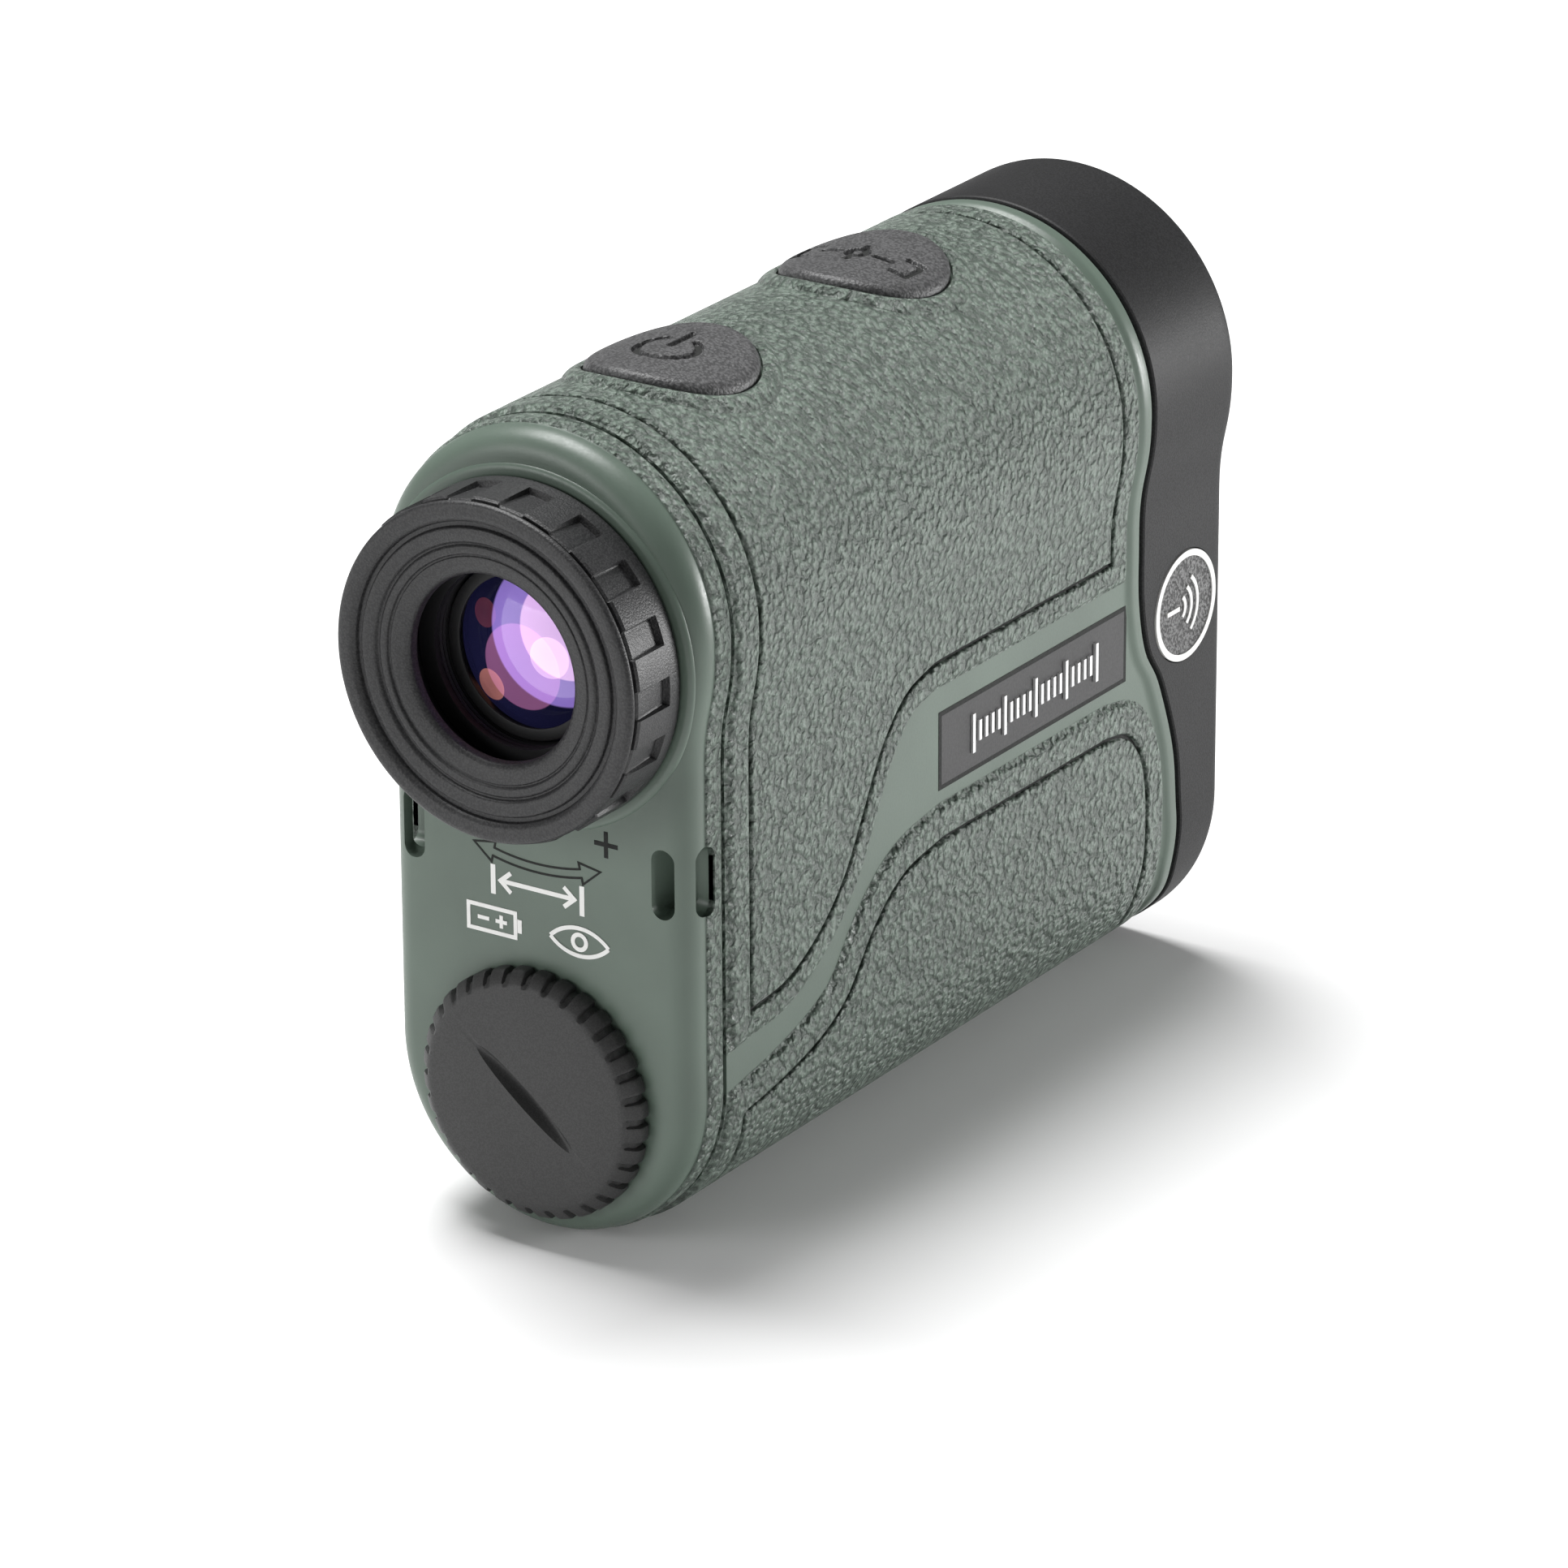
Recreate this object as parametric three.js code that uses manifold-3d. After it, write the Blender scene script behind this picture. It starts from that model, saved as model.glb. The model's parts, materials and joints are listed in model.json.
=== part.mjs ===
// A handheld 6x21 laser rangefinder: a monocular with a laser below it, in a sleeve-shaped housing.
// Millimetres, +Z up, +Y along the optical axis towards the target, +X to the user's right.
// Inside the file y is counted forward from the rear face and z up from the belly; the last group
// moves that to the part's own frame, whose origin is the middle of the underside.
import * as THREE from "three";
import { mergeVertices } from "three/addons/utils/BufferGeometryUtils.js";
import Module from "manifold-3d";

const wasm = await Module();
wasm.setup();

// ---------------------------------------------------------------- driving dimensions
const BODY_LENGTH = 88.5; // rear face to front face
const EYECUP_PROUD = 7.7; // eyecup rim behind the rear face
const LOBE_RADIUS = 17.7; // upper, rounder part of the section
const LOBE_Z = 58.4;
const WAIST_HALF = 16.5; // straight sides and round belly
const BELLY_Z = WAIST_HALF;
const WAIST_TOP_Z = 47; // the sides swell into the upper lobe above this
const OPTIC_Z = 56; // optical axis
const BATTERY_Z = 14.5; // axis of the battery and its cap
const LASER_Z = 21.5; // axis of the laser barrel

const WALL = 3; // sleeve
const SPIGOT_OUT = 3.2; // spigots plug into the sleeve
const SPIGOT_IN = 4.6;
const GAP = 0.2; // between pieces that fit together
const COVER_DEPTH = 5.2;
const COVER_INSET = 0.6; // rear cover is a little smaller than the sleeve
const COVER_WALL = 2.4;
const ARMOUR_THICK = 1.2;
const POCKET_DEPTH = ARMOUR_THICK + GAP;
const BAND_DEPTH = 0.5; // sunk band between the two armour pads

const UPPER_REAR_Y = 9; // upper armour pad, in side view
const UPPER_FRONT_Y = 68.4;
const LOWER_FRONT_Y = 75.2; // lower armour pad
const PARTING_Y = 73.9; // front edge of the sleeve above the name plate
const BUTTON_RADIUS = 7.75;
const BUTTON_TOP = 1.1; // above the nominal surface
const BUTTON_UNDER = -0.45;
const STEM_RADIUS = 1.4; // post under a button, on its switch
const BUTTON_Y = { power: 21.5, mode: 52.3 };

// Limits of cutting tools, clear of the housing on every side.
const CLEAR_X = 30;
const CLEAR_TOP_Z = 95;
const CLEAR_LOW_Z = -5;

const CURVE_SEGMENTS = 6;
const ROUND = 24; // facets of a large round piece
const SMALL_ROUND = 12;
const BUTTON_SEGMENTS = 36;

// ---------------------------------------------------------------- materials
const colour = (hex, roughness, metalness = 0) =>
  new THREE.MeshStandardMaterial({ color: hex, roughness, metalness });
const GREEN_SATIN = colour(0x6f7d73, 0.5);
const GREEN_ARMOUR = colour(0x66746a, 0.75);
const BLACK_SHELL = colour(0x3c3c3e, 0.5);
const BLACK_RUBBER = colour(0x39393a, 0.7);
const BLACK_PLATE = colour(0x4a494b, 0.45);
const SILVER = colour(0xe8e8e8, 0.35, 0.6);
const BLACK_ALLOY = colour(0x1c1c1e, 0.45, 0.8);
const STEEL = colour(0xb9bcc0, 0.3, 1);
const BRASS = colour(0xc8a44c, 0.35, 1);
const COATED_GLASS = colour(0x8a5fb5, 0.05);
const CLEAR_GLASS = colour(0xcfe3ea, 0.05);
const INNER_PLASTIC = colour(0x2b2c2e, 0.6);
const BOARD_GREEN = colour(0x1f5b3a, 0.5);
const CHIP_BLACK = colour(0x18181a, 0.5);
const CELL_WRAP = colour(0x22577a, 0.4);

// ---------------------------------------------------------------- solids
// A three.js geometry as a manifold-3d solid, facing out.
function solid(geometry) {
  geometry.deleteAttribute("normal");
  geometry.deleteAttribute("uv");
  const merged = mergeVertices(geometry, 1e-4);
  const corners = merged.index.array;
  const kept = [];
  for (let i = 0; i < corners.length; i += 3) {
    const [a, b, c] = [corners[i], corners[i + 1], corners[i + 2]];
    if (a !== b && b !== c && a !== c) kept.push(a, b, c);
  }
  const build = (triVerts) =>
    new wasm.Manifold(
      new wasm.Mesh({ numProp: 3, vertProperties: merged.attributes.position.array, triVerts }),
    );
  const made = build(new Uint32Array(kept));
  if (made.volume() > 0) return made;
  for (let i = 0; i < kept.length; i += 3) [kept[i + 1], kept[i + 2]] = [kept[i + 2], kept[i + 1]];
  return build(new Uint32Array(kept));
}

function geometryOf(manifold) {
  const { vertProperties, triVerts, numProp, numVert } = manifold.getMesh();
  const position = new Float32Array(numVert * 3);
  for (let i = 0; i < numVert; i++) {
    position.set(vertProperties.subarray(i * numProp, i * numProp + 3), i * 3);
  }
  const geometry = new THREE.BufferGeometry();
  geometry.setAttribute("position", new THREE.BufferAttribute(position, 3));
  geometry.setIndex(new THREE.BufferAttribute(triVerts, 1));
  geometry.computeVertexNormals();
  return geometry;
}

const join = (...parts) => parts.reduce((whole, part) => whole.add(part));
const cut = (whole, ...tools) => tools.reduce((rest, tool) => rest.subtract(tool), whole);

// Extrusions of a flat outline. prismY takes an (x, z) outline, prismX (y, z) and prismZ (x, y).
function prismY(shape, y0, y1, options = {}) {
  const settings = { depth: y1 - y0, bevelEnabled: false, curveSegments: CURVE_SEGMENTS, ...options };
  return solid(new THREE.ExtrudeGeometry(shape, settings).rotateX(Math.PI / 2).translate(0, y1, 0));
}

const X_FROM_Z = new THREE.Matrix4().makeBasis(
  new THREE.Vector3(0, 1, 0),
  new THREE.Vector3(0, 0, 1),
  new THREE.Vector3(1, 0, 0),
);
function prismX(shape, x0, x1) {
  const settings = { depth: x1 - x0, bevelEnabled: false, curveSegments: CURVE_SEGMENTS };
  return solid(new THREE.ExtrudeGeometry(shape, settings).applyMatrix4(X_FROM_Z).translate(x0, 0, 0));
}

function prismZ(shape, z0, z1) {
  const settings = { depth: z1 - z0, bevelEnabled: false, curveSegments: CURVE_SEGMENTS };
  return solid(new THREE.ExtrudeGeometry(shape, settings).translate(0, 0, z0));
}

function box(x0, x1, y0, y1, z0, z1) {
  const geometry = new THREE.BoxGeometry(x1 - x0, y1 - y0, z1 - z0);
  return solid(geometry.translate((x0 + x1) / 2, (y0 + y1) / 2, (z0 + z1) / 2));
}

// A turned piece about an axis along Y at the height z: profile is a closed list of [radius, y].
function turned(profile, z, segments = ROUND, x = 0) {
  const points = [...profile, profile[0]].map(([r, y]) => new THREE.Vector2(r, y));
  return solid(new THREE.LatheGeometry(points, segments).translate(x, 0, z));
}

const rod = (radius, y0, y1, z, segments = ROUND, x = 0) =>
  turned([[0, y0], [radius, y0], [radius, y1], [0, y1]], z, segments, x);

const ring = (inner, outer, y0, y1, z, segments = ROUND) =>
  turned([[inner, y0], [outer, y0], [outer, y1], [inner, y1]], z, segments);

// An upright round rod at (x, y).
function post(radius, x, y, z0, z1, segments = SMALL_ROUND) {
  const geometry = new THREE.CylinderGeometry(radius, radius, z1 - z0, segments);
  return solid(geometry.rotateX(Math.PI / 2).translate(x, y, (z0 + z1) / 2));
}

// A biconvex lens about an axis along Y, its edge running from y0 to y1.
function lens(radius, y0, y1, bulge, z) {
  const steps = 2;
  const profile = [];
  for (let i = 0; i <= steps; i++) {
    const t = i / steps;
    profile.push([radius * t, y0 - bulge * (1 - t * t)]);
  }
  for (let i = steps; i >= 0; i--) {
    const t = i / steps;
    profile.push([radius * t, y1 + bulge * (1 - t * t)]);
  }
  return turned(profile, z, 20);
}

// ---------------------------------------------------------------- section and side-view outlines
// The housing's section, grown by `grow`, as an (x, z) outline: a round lobe over a straight waist
// and a round belly.
function section(grow = 0) {
  const lobe = LOBE_RADIUS + grow;
  const waist = WAIST_HALF + grow;
  const pull = (LOBE_Z - WAIST_TOP_Z) / 2;
  const shape = new THREE.Shape();
  shape.moveTo(lobe, LOBE_Z);
  shape.absarc(0, LOBE_Z, lobe, 0, Math.PI, false);
  shape.bezierCurveTo(-lobe, LOBE_Z - pull, -waist, WAIST_TOP_Z + pull, -waist, WAIST_TOP_Z);
  shape.lineTo(-waist, BELLY_Z);
  shape.absarc(0, BELLY_Z, waist, Math.PI, 2 * Math.PI, false);
  shape.lineTo(waist, WAIST_TOP_Z);
  shape.bezierCurveTo(waist, WAIST_TOP_Z + pull, lobe, LOBE_Z - pull, lobe, LOBE_Z);
  return shape;
}

// Everything between two grown sections, as a shell that skins the housing from y0 to y1.
const skin = (outer, inner, y0, y1) =>
  cut(prismY(section(outer), y0, y1), prismY(section(inner), y0 - 1, y1 + 1));

const points = (list) => list.map(([y, z]) => new THREE.Vector2(y, z));

// A line of [y, z] points moved sideways by `grow`, towards its left.
function moved(list, grow) {
  return list.map(([y, z], i) => {
    const before = list[Math.max(i - 1, 0)];
    const after = list[Math.min(i + 1, list.length - 1)];
    const [dy, dz] = [after[0] - before[0], after[1] - before[1]];
    const step = grow / Math.hypot(dy, dz);
    return [y - step * dz, z + step * dy];
  });
}

// A smooth line through the listed points, in a few straight steps.
const smooth = (list, steps) =>
  new THREE.SplineCurve(points(list)).getPoints(steps).map(({ x, y }) => [x, y]);

// Side view of the upper armour pad: open over the top, its lower edge S-shaped. `grow` widens it.
const UPPER_PAD_LOW_Z = 45.4; // straight, front part of the lower edge
const UPPER_EDGE = [
  [38, UPPER_PAD_LOW_Z],
  [33.9, 44.1],
  [29.4, 39.8],
  [26.4, 34.4],
  [22.8, 28.9],
  [17, 24.5],
  [UPPER_REAR_Y, 22.8],
];
function upperPad(grow = 0) {
  const low = UPPER_PAD_LOW_Z - grow;
  const edge = moved(smooth(UPPER_EDGE, 9), grow);
  edge[0] = [UPPER_EDGE[0][0], low];
  edge.at(-1)[0] = UPPER_REAR_Y - grow;
  return new THREE.Shape(
    points([
      [UPPER_REAR_Y - grow, CLEAR_TOP_Z],
      ...edge.reverse(),
      [UPPER_FRONT_Y + grow, low],
      [UPPER_FRONT_Y + grow, CLEAR_TOP_Z],
    ]),
  );
}

// Side view of the lower armour pad, open under the belly.
const LOWER_PAD_BELLY_Y = 12.5; // rear edge, where it passes under the belly
const LOWER_EDGE = [[8.4, 12.7], [15.7, 14.3], [22.6, 16.9], [29.3, 23.5], [34.5, 26.6], [40, 27.9]];
const LOWER_FRONT = [
  [40, 27.9],
  [68.7, 27.9],
  [71.6, 27],
  [73.9, 24.2],
  [75.1, 19.4],
  [LOWER_FRONT_Y, 13],
  [76.4, 7.5],
  [82.5, CLEAR_LOW_Z],
];
function lowerPad(grow = 0) {
  const [rearY, rearZ] = LOWER_EDGE[0];
  const rear = [[LOWER_PAD_BELLY_Y - grow, CLEAR_LOW_Z], [rearY - grow, rearZ]];
  const top = moved(smooth(LOWER_EDGE, 8), grow).slice(1);
  const front = moved(LOWER_FRONT, grow).slice(1);
  return new THREE.Shape(points([...rear, ...top, ...front]));
}

// Side view of everything behind the joint between the sleeve and the front bezel.
const PARTING_EDGE = [
  [87, CLEAR_LOW_Z],
  [84.2, 6],
  [82, 11.2],
  [81.2, 17],
  [80.4, 23.5],
  [77.7, 30.8],
  [75.2, 34.6],
  [PARTING_Y, 40],
];
function behindParting(back) {
  const behind = -20;
  const edge = smooth(PARTING_EDGE, 9).map(([y, z]) => [y - back, z]);
  return new THREE.Shape(
    points([[behind, CLEAR_TOP_Z], [behind, CLEAR_LOW_Z], ...edge, [PARTING_Y - back, CLEAR_TOP_Z]]),
  );
}

// ---------------------------------------------------------------- scene graph helpers
const model = new THREE.Group();
function add(name, manifold, material) {
  const mesh = new THREE.Mesh(geometryOf(manifold), material);
  mesh.name = name;
  model.add(mesh);
}

// ---------------------------------------------------------------- outer shells
const NAMEPLATE = { y0: 40, y1: 71.6, z0: 33, z1: 39.9, out: 16.05, thick: 0.85 };
const BADGE = { y: 81.7, z: 37.2, radius: 5.4, out: 16.6, thick: 0.7 };
const SIDES = [["right", 1], ["left", -1]];

function sideBox(side, x0, x1, y0, y1, z0, z1) {
  return side > 0 ? box(x0, x1, y0, y1, z0, z1) : box(-x1, -x0, y0, y1, z0, z1);
}

function sideDisc(side, radius, x0, x1, y, z) {
  const geometry = new THREE.CylinderGeometry(radius, radius, x1 - x0, 32);
  return solid(geometry.rotateZ(Math.PI / 2).translate((side * (x0 + x1)) / 2, y, z));
}

// A side view run through the whole width of the housing.
const through = (shape) => prismX(shape, -CLEAR_X, CLEAR_X);

const SEAM = 0.1; // each side of the joint between the sleeve and the bezel
const UPPER_BORDER = 3; // raised borders round the pads
const LOWER_BORDER = 3.4;

function mainBody() {
  const outer = prismY(section(0), COVER_DEPTH + 0.15, BODY_LENGTH);
  let body = outer.intersect(through(behindParting(SEAM)));
  const pads = join(through(upperPad(GAP)), through(lowerPad(GAP)));
  const borders = join(through(upperPad(UPPER_BORDER)), through(lowerPad(LOWER_BORDER)));
  const front = box(-CLEAR_X, CLEAR_X, LOWER_FRONT_Y - 3, BODY_LENGTH, CLEAR_LOW_Z, CLEAR_TOP_Z);
  body = cut(body, skin(1, -POCKET_DEPTH, 0, BODY_LENGTH).intersect(pads));
  body = cut(body, cut(skin(1, -BAND_DEPTH, 0, BODY_LENGTH), borders, front));
  body = cut(body, prismY(section(-WALL), 0, BODY_LENGTH));
  for (const [, side] of SIDES) {
    const p = NAMEPLATE;
    const floor = p.out - p.thick - GAP;
    body = cut(body, sideBox(side, floor, 20, p.y0 - GAP, p.y1 + GAP, p.z0 - GAP, p.z1 + GAP));
  }
  for (const y of Object.values(BUTTON_Y)) body = cut(body, post(STEM_RADIUS + 0.8, 0, y, LOBE_Z, 80));
  return body;
}

function upperArmour() {
  let pad = skin(0, -ARMOUR_THICK, 0, BODY_LENGTH).intersect(through(upperPad()));
  for (const y of Object.values(BUTTON_Y)) {
    pad = cut(pad, post(BUTTON_RADIUS + GAP, 0, y, LOBE_Z, 80, BUTTON_SEGMENTS));
  }
  return pad;
}

const lowerArmour = () => skin(0, -ARMOUR_THICK, 0, BODY_LENGTH).intersect(through(lowerPad()));

// Strap tunnel: in through the rear face, out through the side, round a bar at the corner.
const STRAP = { x0: 12, x1: 14.3, y0: 1.5, y1: 3.8, z0: 33.6, z1: 40 };
const COVER_SCREW_RADIUS = 13.75; // from the optical axis
const COVER_SCREWS = [45, 135, 225, 315].map((degrees) => {
  const angle = (degrees * Math.PI) / 180;
  return [COVER_SCREW_RADIUS * Math.cos(angle), OPTIC_Z + COVER_SCREW_RADIUS * Math.sin(angle)];
});

const CAP_SEAT_RADIUS = 10.8; // counterbore for the battery cap's seal
const BATTERY_HOLE = 9.5;
const EYEPIECE_HOLE = 12;
const PILOT = 0.95; // screw holes

function rearCover() {
  const round = 2.2;
  const bevel = {
    bevelEnabled: true,
    bevelThickness: round,
    bevelSize: round,
    bevelOffset: -round,
    bevelSegments: 3,
  };
  const shell = prismY(section(-COVER_INSET), round, 14, bevel).intersect(
    box(-CLEAR_X, CLEAR_X, -1, COVER_DEPTH, CLEAR_LOW_Z, CLEAR_TOP_Z),
  );
  const spigot = prismY(section(-SPIGOT_OUT), COVER_DEPTH - 1, 7.2);
  let cover = cut(join(shell, spigot), prismY(section(-SPIGOT_IN), COVER_WALL, 10));
  cover = join(cover, rod(11.2, COVER_WALL - 0.5, 4.5, BATTERY_Z));
  for (const [, side] of SIDES) {
    cover = join(cover, sideBox(side, STRAP.x0 - 1.2, 15, COVER_WALL - 0.9, COVER_DEPTH, 32.2, 41.4));
    cover = cut(cover, sideBox(side, STRAP.x0, STRAP.x1, -1, STRAP.y1, STRAP.z0, STRAP.z1));
    cover = cut(cover, sideBox(side, STRAP.x0, 18, STRAP.y0, STRAP.y1, STRAP.z0, STRAP.z1));
  }
  cover = cut(cover, rod(EYEPIECE_HOLE, -1, 10, OPTIC_Z), rod(BATTERY_HOLE, -1, 10, BATTERY_Z));
  cover = cut(cover, rod(CAP_SEAT_RADIUS, -1, 1.1, BATTERY_Z));
  for (const [x, z] of COVER_SCREWS) {
    cover = cut(cover, rod(1.5, -1, 1.4, z, SMALL_ROUND, x), rod(PILOT, 0, 8, z, SMALL_ROUND, x));
  }
  return cover;
}

function frontBezel() {
  const outer = cut(prismY(section(0), 60, BODY_LENGTH), through(behindParting(-SEAM)));
  const spigot = prismY(section(-SPIGOT_OUT), 70.2, 86);
  let bezel = cut(join(outer, spigot), prismY(section(-SPIGOT_IN), 60, 85.2));
  const mouth = [[0, 84], [10.8, 84], [10.8, 85.2], [12.4, 89], [0, 89]];
  const laserMouth = [[0, 84], [8.2, 84], [8.2, 86.6], [9.4, 89], [0, 89]];
  bezel = cut(bezel, turned(mouth, OPTIC_Z), turned(laserMouth, LASER_Z));
  for (const [, side] of SIDES) {
    const inner = BADGE.out - BADGE.thick - GAP;
    bezel = cut(bezel, sideDisc(side, BADGE.radius + GAP, inner, 19, BADGE.y, BADGE.z));
  }
  return bezel;
}

add("main_body", mainBody(), GREEN_ARMOUR);
add("upper_armour", upperArmour(), GREEN_ARMOUR);
add("lower_armour", lowerArmour(), GREEN_ARMOUR);
add("rear_cover", rearCover(), GREEN_SATIN);
add("front_bezel", frontBezel(), BLACK_SHELL);
for (const [name, side] of SIDES) {
  const p = NAMEPLATE;
  const plate = sideBox(side, p.out - p.thick, p.out, p.y0, p.y1, p.z0, p.z1);
  add(`nameplate_${name}`, plate, BLACK_PLATE);
  const b = BADGE;
  add(`badge_${name}`, sideDisc(side, b.radius, b.out - b.thick, b.out, b.y, b.z), SILVER);
}

// ---------------------------------------------------------------- eyepiece
const PAD_COUNT = 18;
const TUBE_BORE = 10.15;
const TUBE_OUTER = 11.7;

const RING_PROFILE = [
  [11.9, -0.4], [15.2, -0.4], [15.2, -6.7], [12.45, -6.7], [12.45, -4.5], [11.9, -4.5],
];
function diopterRing() {
  let made = turned(RING_PROFILE, OPTIC_Z, 36);
  for (let i = 0; i < PAD_COUNT; i++) {
    const pad = new THREE.BoxGeometry(2.4, 5, 0.9).translate(0, -4, 15.25);
    pad.rotateY((i / PAD_COUNT) * 2 * Math.PI).translate(0, 0, OPTIC_Z);
    made = join(made, solid(pad));
  }
  return made;
}

const EYECUP_PROFILE = [
  [8.5, -6], [11.5, -7], [13.6, -7.3], [13.9, -EYECUP_PROUD], [15.1, -EYECUP_PROUD], [15.4, -7.4],
  [15.4, -6.95], [12.25, -6.95], [12.25, -4.75], [10.6, -4.75], [8.5, -5.2],
];

add("diopter_ring", diopterRing(), BLACK_RUBBER);
add("eyecup", turned(EYECUP_PROFILE, OPTIC_Z, 32), BLACK_RUBBER);
add("eyepiece_tube", join(
  ring(TUBE_BORE, TUBE_OUTER, -4.3, 20, OPTIC_Z),
  ring(TUBE_BORE, 12.6, COVER_WALL + GAP, 4.2, OPTIC_Z),
), BLACK_ALLOY);
const CELL_PROFILE = [
  [8.3, -3], [9.95, -3], [9.95, 13], [7.2, 13], [7.2, 11.8], [8.3, 11.8], [8.3, 6.2], [7.4, 6.2],
  [7.4, 3.2], [8.3, 3.2],
];
add("ocular_cell", turned(CELL_PROFILE, OPTIC_Z), BLACK_ALLOY);
add("eye_lens", lens(8.1, 0.4, 2.6, 1.5, OPTIC_Z), COATED_GLASS);
add("field_lens", lens(8.1, 8.2, 9.8, 1.2, OPTIC_Z), CLEAR_GLASS);
add("ocular_retainer", ring(7.4, 8.1, -1.1, -0.1, OPTIC_Z), BLACK_ALLOY);
add("field_retainer", ring(7.4, 8.1, 6.5, 7.9, OPTIC_Z), BLACK_ALLOY);

// ---------------------------------------------------------------- display, prisms and objective
add("lcd_panel", box(-7.5, 7.5, 20.6, 22.2, OPTIC_Z - 7.5, OPTIC_Z + 7.5), CLEAR_GLASS);

const PRISM = { x: 11, y0: 24, y1: 50, z0: 45, z1: 67, wall: 1.4 };
const DETECTOR = { y: 44, radius: 1.7 };
function prismHousing() {
  const p = PRISM;
  const w = p.wall;
  const shell = box(-p.x, p.x, p.y0, p.y1, p.z0, p.z1);
  const room = box(-p.x + w, p.x - w, p.y0 + w, p.y1 - w, p.z0 + w, p.z1 - w);
  const sight = rod(7.4, p.y0 - 1, p.y1 + 1, OPTIC_Z, 20);
  return cut(shell, room, sight, post(DETECTOR.radius + 0.3, 0, DETECTOR.y, p.z0 - 1, p.z0 + 2));
}
function prismBlock(outline) {
  const shape = new THREE.Shape(points(outline));
  return prismX(shape, -7.5, 7.5);
}
add("prism_housing", prismHousing(), BLACK_ALLOY);
add("half_penta_prism", prismBlock([[26, 47], [34, 47], [37, 56], [33, 65], [26, 65]]), CLEAR_GLASS);
add("roof_prism", prismBlock([[38, 48], [48, 48], [48, 65], [38.6, 58]]), CLEAR_GLASS);
add("apd_detector", post(DETECTOR.radius, 0, DETECTOR.y, 42.4, 46.1), STEEL);

const OBJECTIVE_PROFILE = [
  [10.8, 66.4], [12.4, 66.4], [12.4, 84.8], [10.8, 84.8], [10.8, 75], [9.8, 75], [9.8, 74], [10.8, 74],
];
add("objective_cell", turned(OBJECTIVE_PROFILE, OPTIC_Z), BLACK_ALLOY);
add("objective_rear_lens", lens(10.5, 75.7, 77, 0.5, OPTIC_Z), CLEAR_GLASS);
add("objective_front_lens", lens(10.5, 78.4, 80.2, 0.8, OPTIC_Z), COATED_GLASS);
add("objective_retainer", ring(9.6, 10.6, 80.5, 81.9, OPTIC_Z), BLACK_ALLOY);

// ---------------------------------------------------------------- laser
const LASER_PROFILE = [
  [3, 44], [9.3, 44], [9.3, 84.9], [8.15, 84.9], [8.15, 78.6], [7.4, 78.6], [7.4, 46], [3, 46],
];
add("laser_barrel", turned(LASER_PROFILE, LASER_Z), BLACK_ALLOY);
add("laser_lens", lens(7.9, 79.3, 81, 0.5, LASER_Z), COATED_GLASS);
add("laser_retainer", ring(7, 7.95, 81.3, 82.5, LASER_Z), BLACK_ALLOY);
add("laser_diode", rod(2.8, 42.6, 48, LASER_Z, SMALL_ROUND), BRASS);

// ---------------------------------------------------------------- frame inside the sleeve
function bulkhead(y0, y1, ...holes) {
  return cut(prismY(section(-WALL - GAP), y0, y1), ...holes);
}
add("rear_bulkhead", bulkhead(
  8.6,
  10.4,
  rod(TUBE_OUTER + GAP, 0, 20, OPTIC_Z),
  rod(9.7, 0, 20, BATTERY_Z),
  ...COVER_SCREWS.map(([x, z]) => rod(PILOT, 0, 20, z, SMALL_ROUND, x)),
), INNER_PLASTIC);
add("front_bulkhead", bulkhead(
  66.9,
  68.7,
  rod(12.65, 60, 80, OPTIC_Z),
  rod(9.55, 60, 80, LASER_Z),
), INNER_PLASTIC);
const BOARD_SCREWS = { rear: 16, front: 56 };
function chassisPlate() {
  let plate = box(-12, 12, 10.7, 66.6, 40.3, 41.8);
  for (const y of Object.values(BOARD_SCREWS)) plate = cut(plate, post(PILOT, 0, y, 40, 42));
  return plate;
}
add("chassis_plate", chassisPlate(), INNER_PLASTIC);
add("rear_seal", skin(-WALL - GAP, -SPIGOT_IN, 7.4, 8.35), BLACK_RUBBER);
add("front_seal", skin(-WALL - GAP, -SPIGOT_IN, 69, 69.95), BLACK_RUBBER);
const SCREW_SHANK = 0.75;
const SCREW_PROFILE = [
  [0, 0.3], [1.3, 0.3], [1.3, 1.2], [SCREW_SHANK, 1.2], [SCREW_SHANK, 10], [0, 10],
];
COVER_SCREWS.forEach(([x, z], i) => {
  add(`cover_screw_${i + 1}`, turned(SCREW_PROFILE, z, SMALL_ROUND, x), STEEL);
});

// ---------------------------------------------------------------- electronics
function mainBoard() {
  let board = box(-11, 11, 12, 60, 36.6, 37.8);
  for (const y of Object.values(BOARD_SCREWS)) board = cut(board, post(PILOT, 0, y, 36, 38));
  return board;
}
add("main_pcb", mainBoard(), BOARD_GREEN);
add("processor_chip", box(-4.5, 4.5, 26, 35, 38, 39.2), CHIP_BLACK);
add("boost_inductor", post(3.4, 4, 24, 32.6, 36.4), CHIP_BLACK);
for (const [name, y] of Object.entries(BOARD_SCREWS)) {
  const head = post(1.5, 0, y, 35.5, 36.4);
  add(`board_screw_${name}`, join(head, post(SCREW_SHANK, 0, y, 36, 41.6)), STEEL);
}
add("button_pcb", box(-7.4, 7.4, 15, 59, 69.5, 70.5), BOARD_GREEN);
for (const [name, y] of Object.entries(BUTTON_Y)) {
  add(`${name}_switch`, box(-2.5, 2.5, y - 2.5, y + 2.5, 70.7, 71.8), CHIP_BLACK);
}

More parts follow.
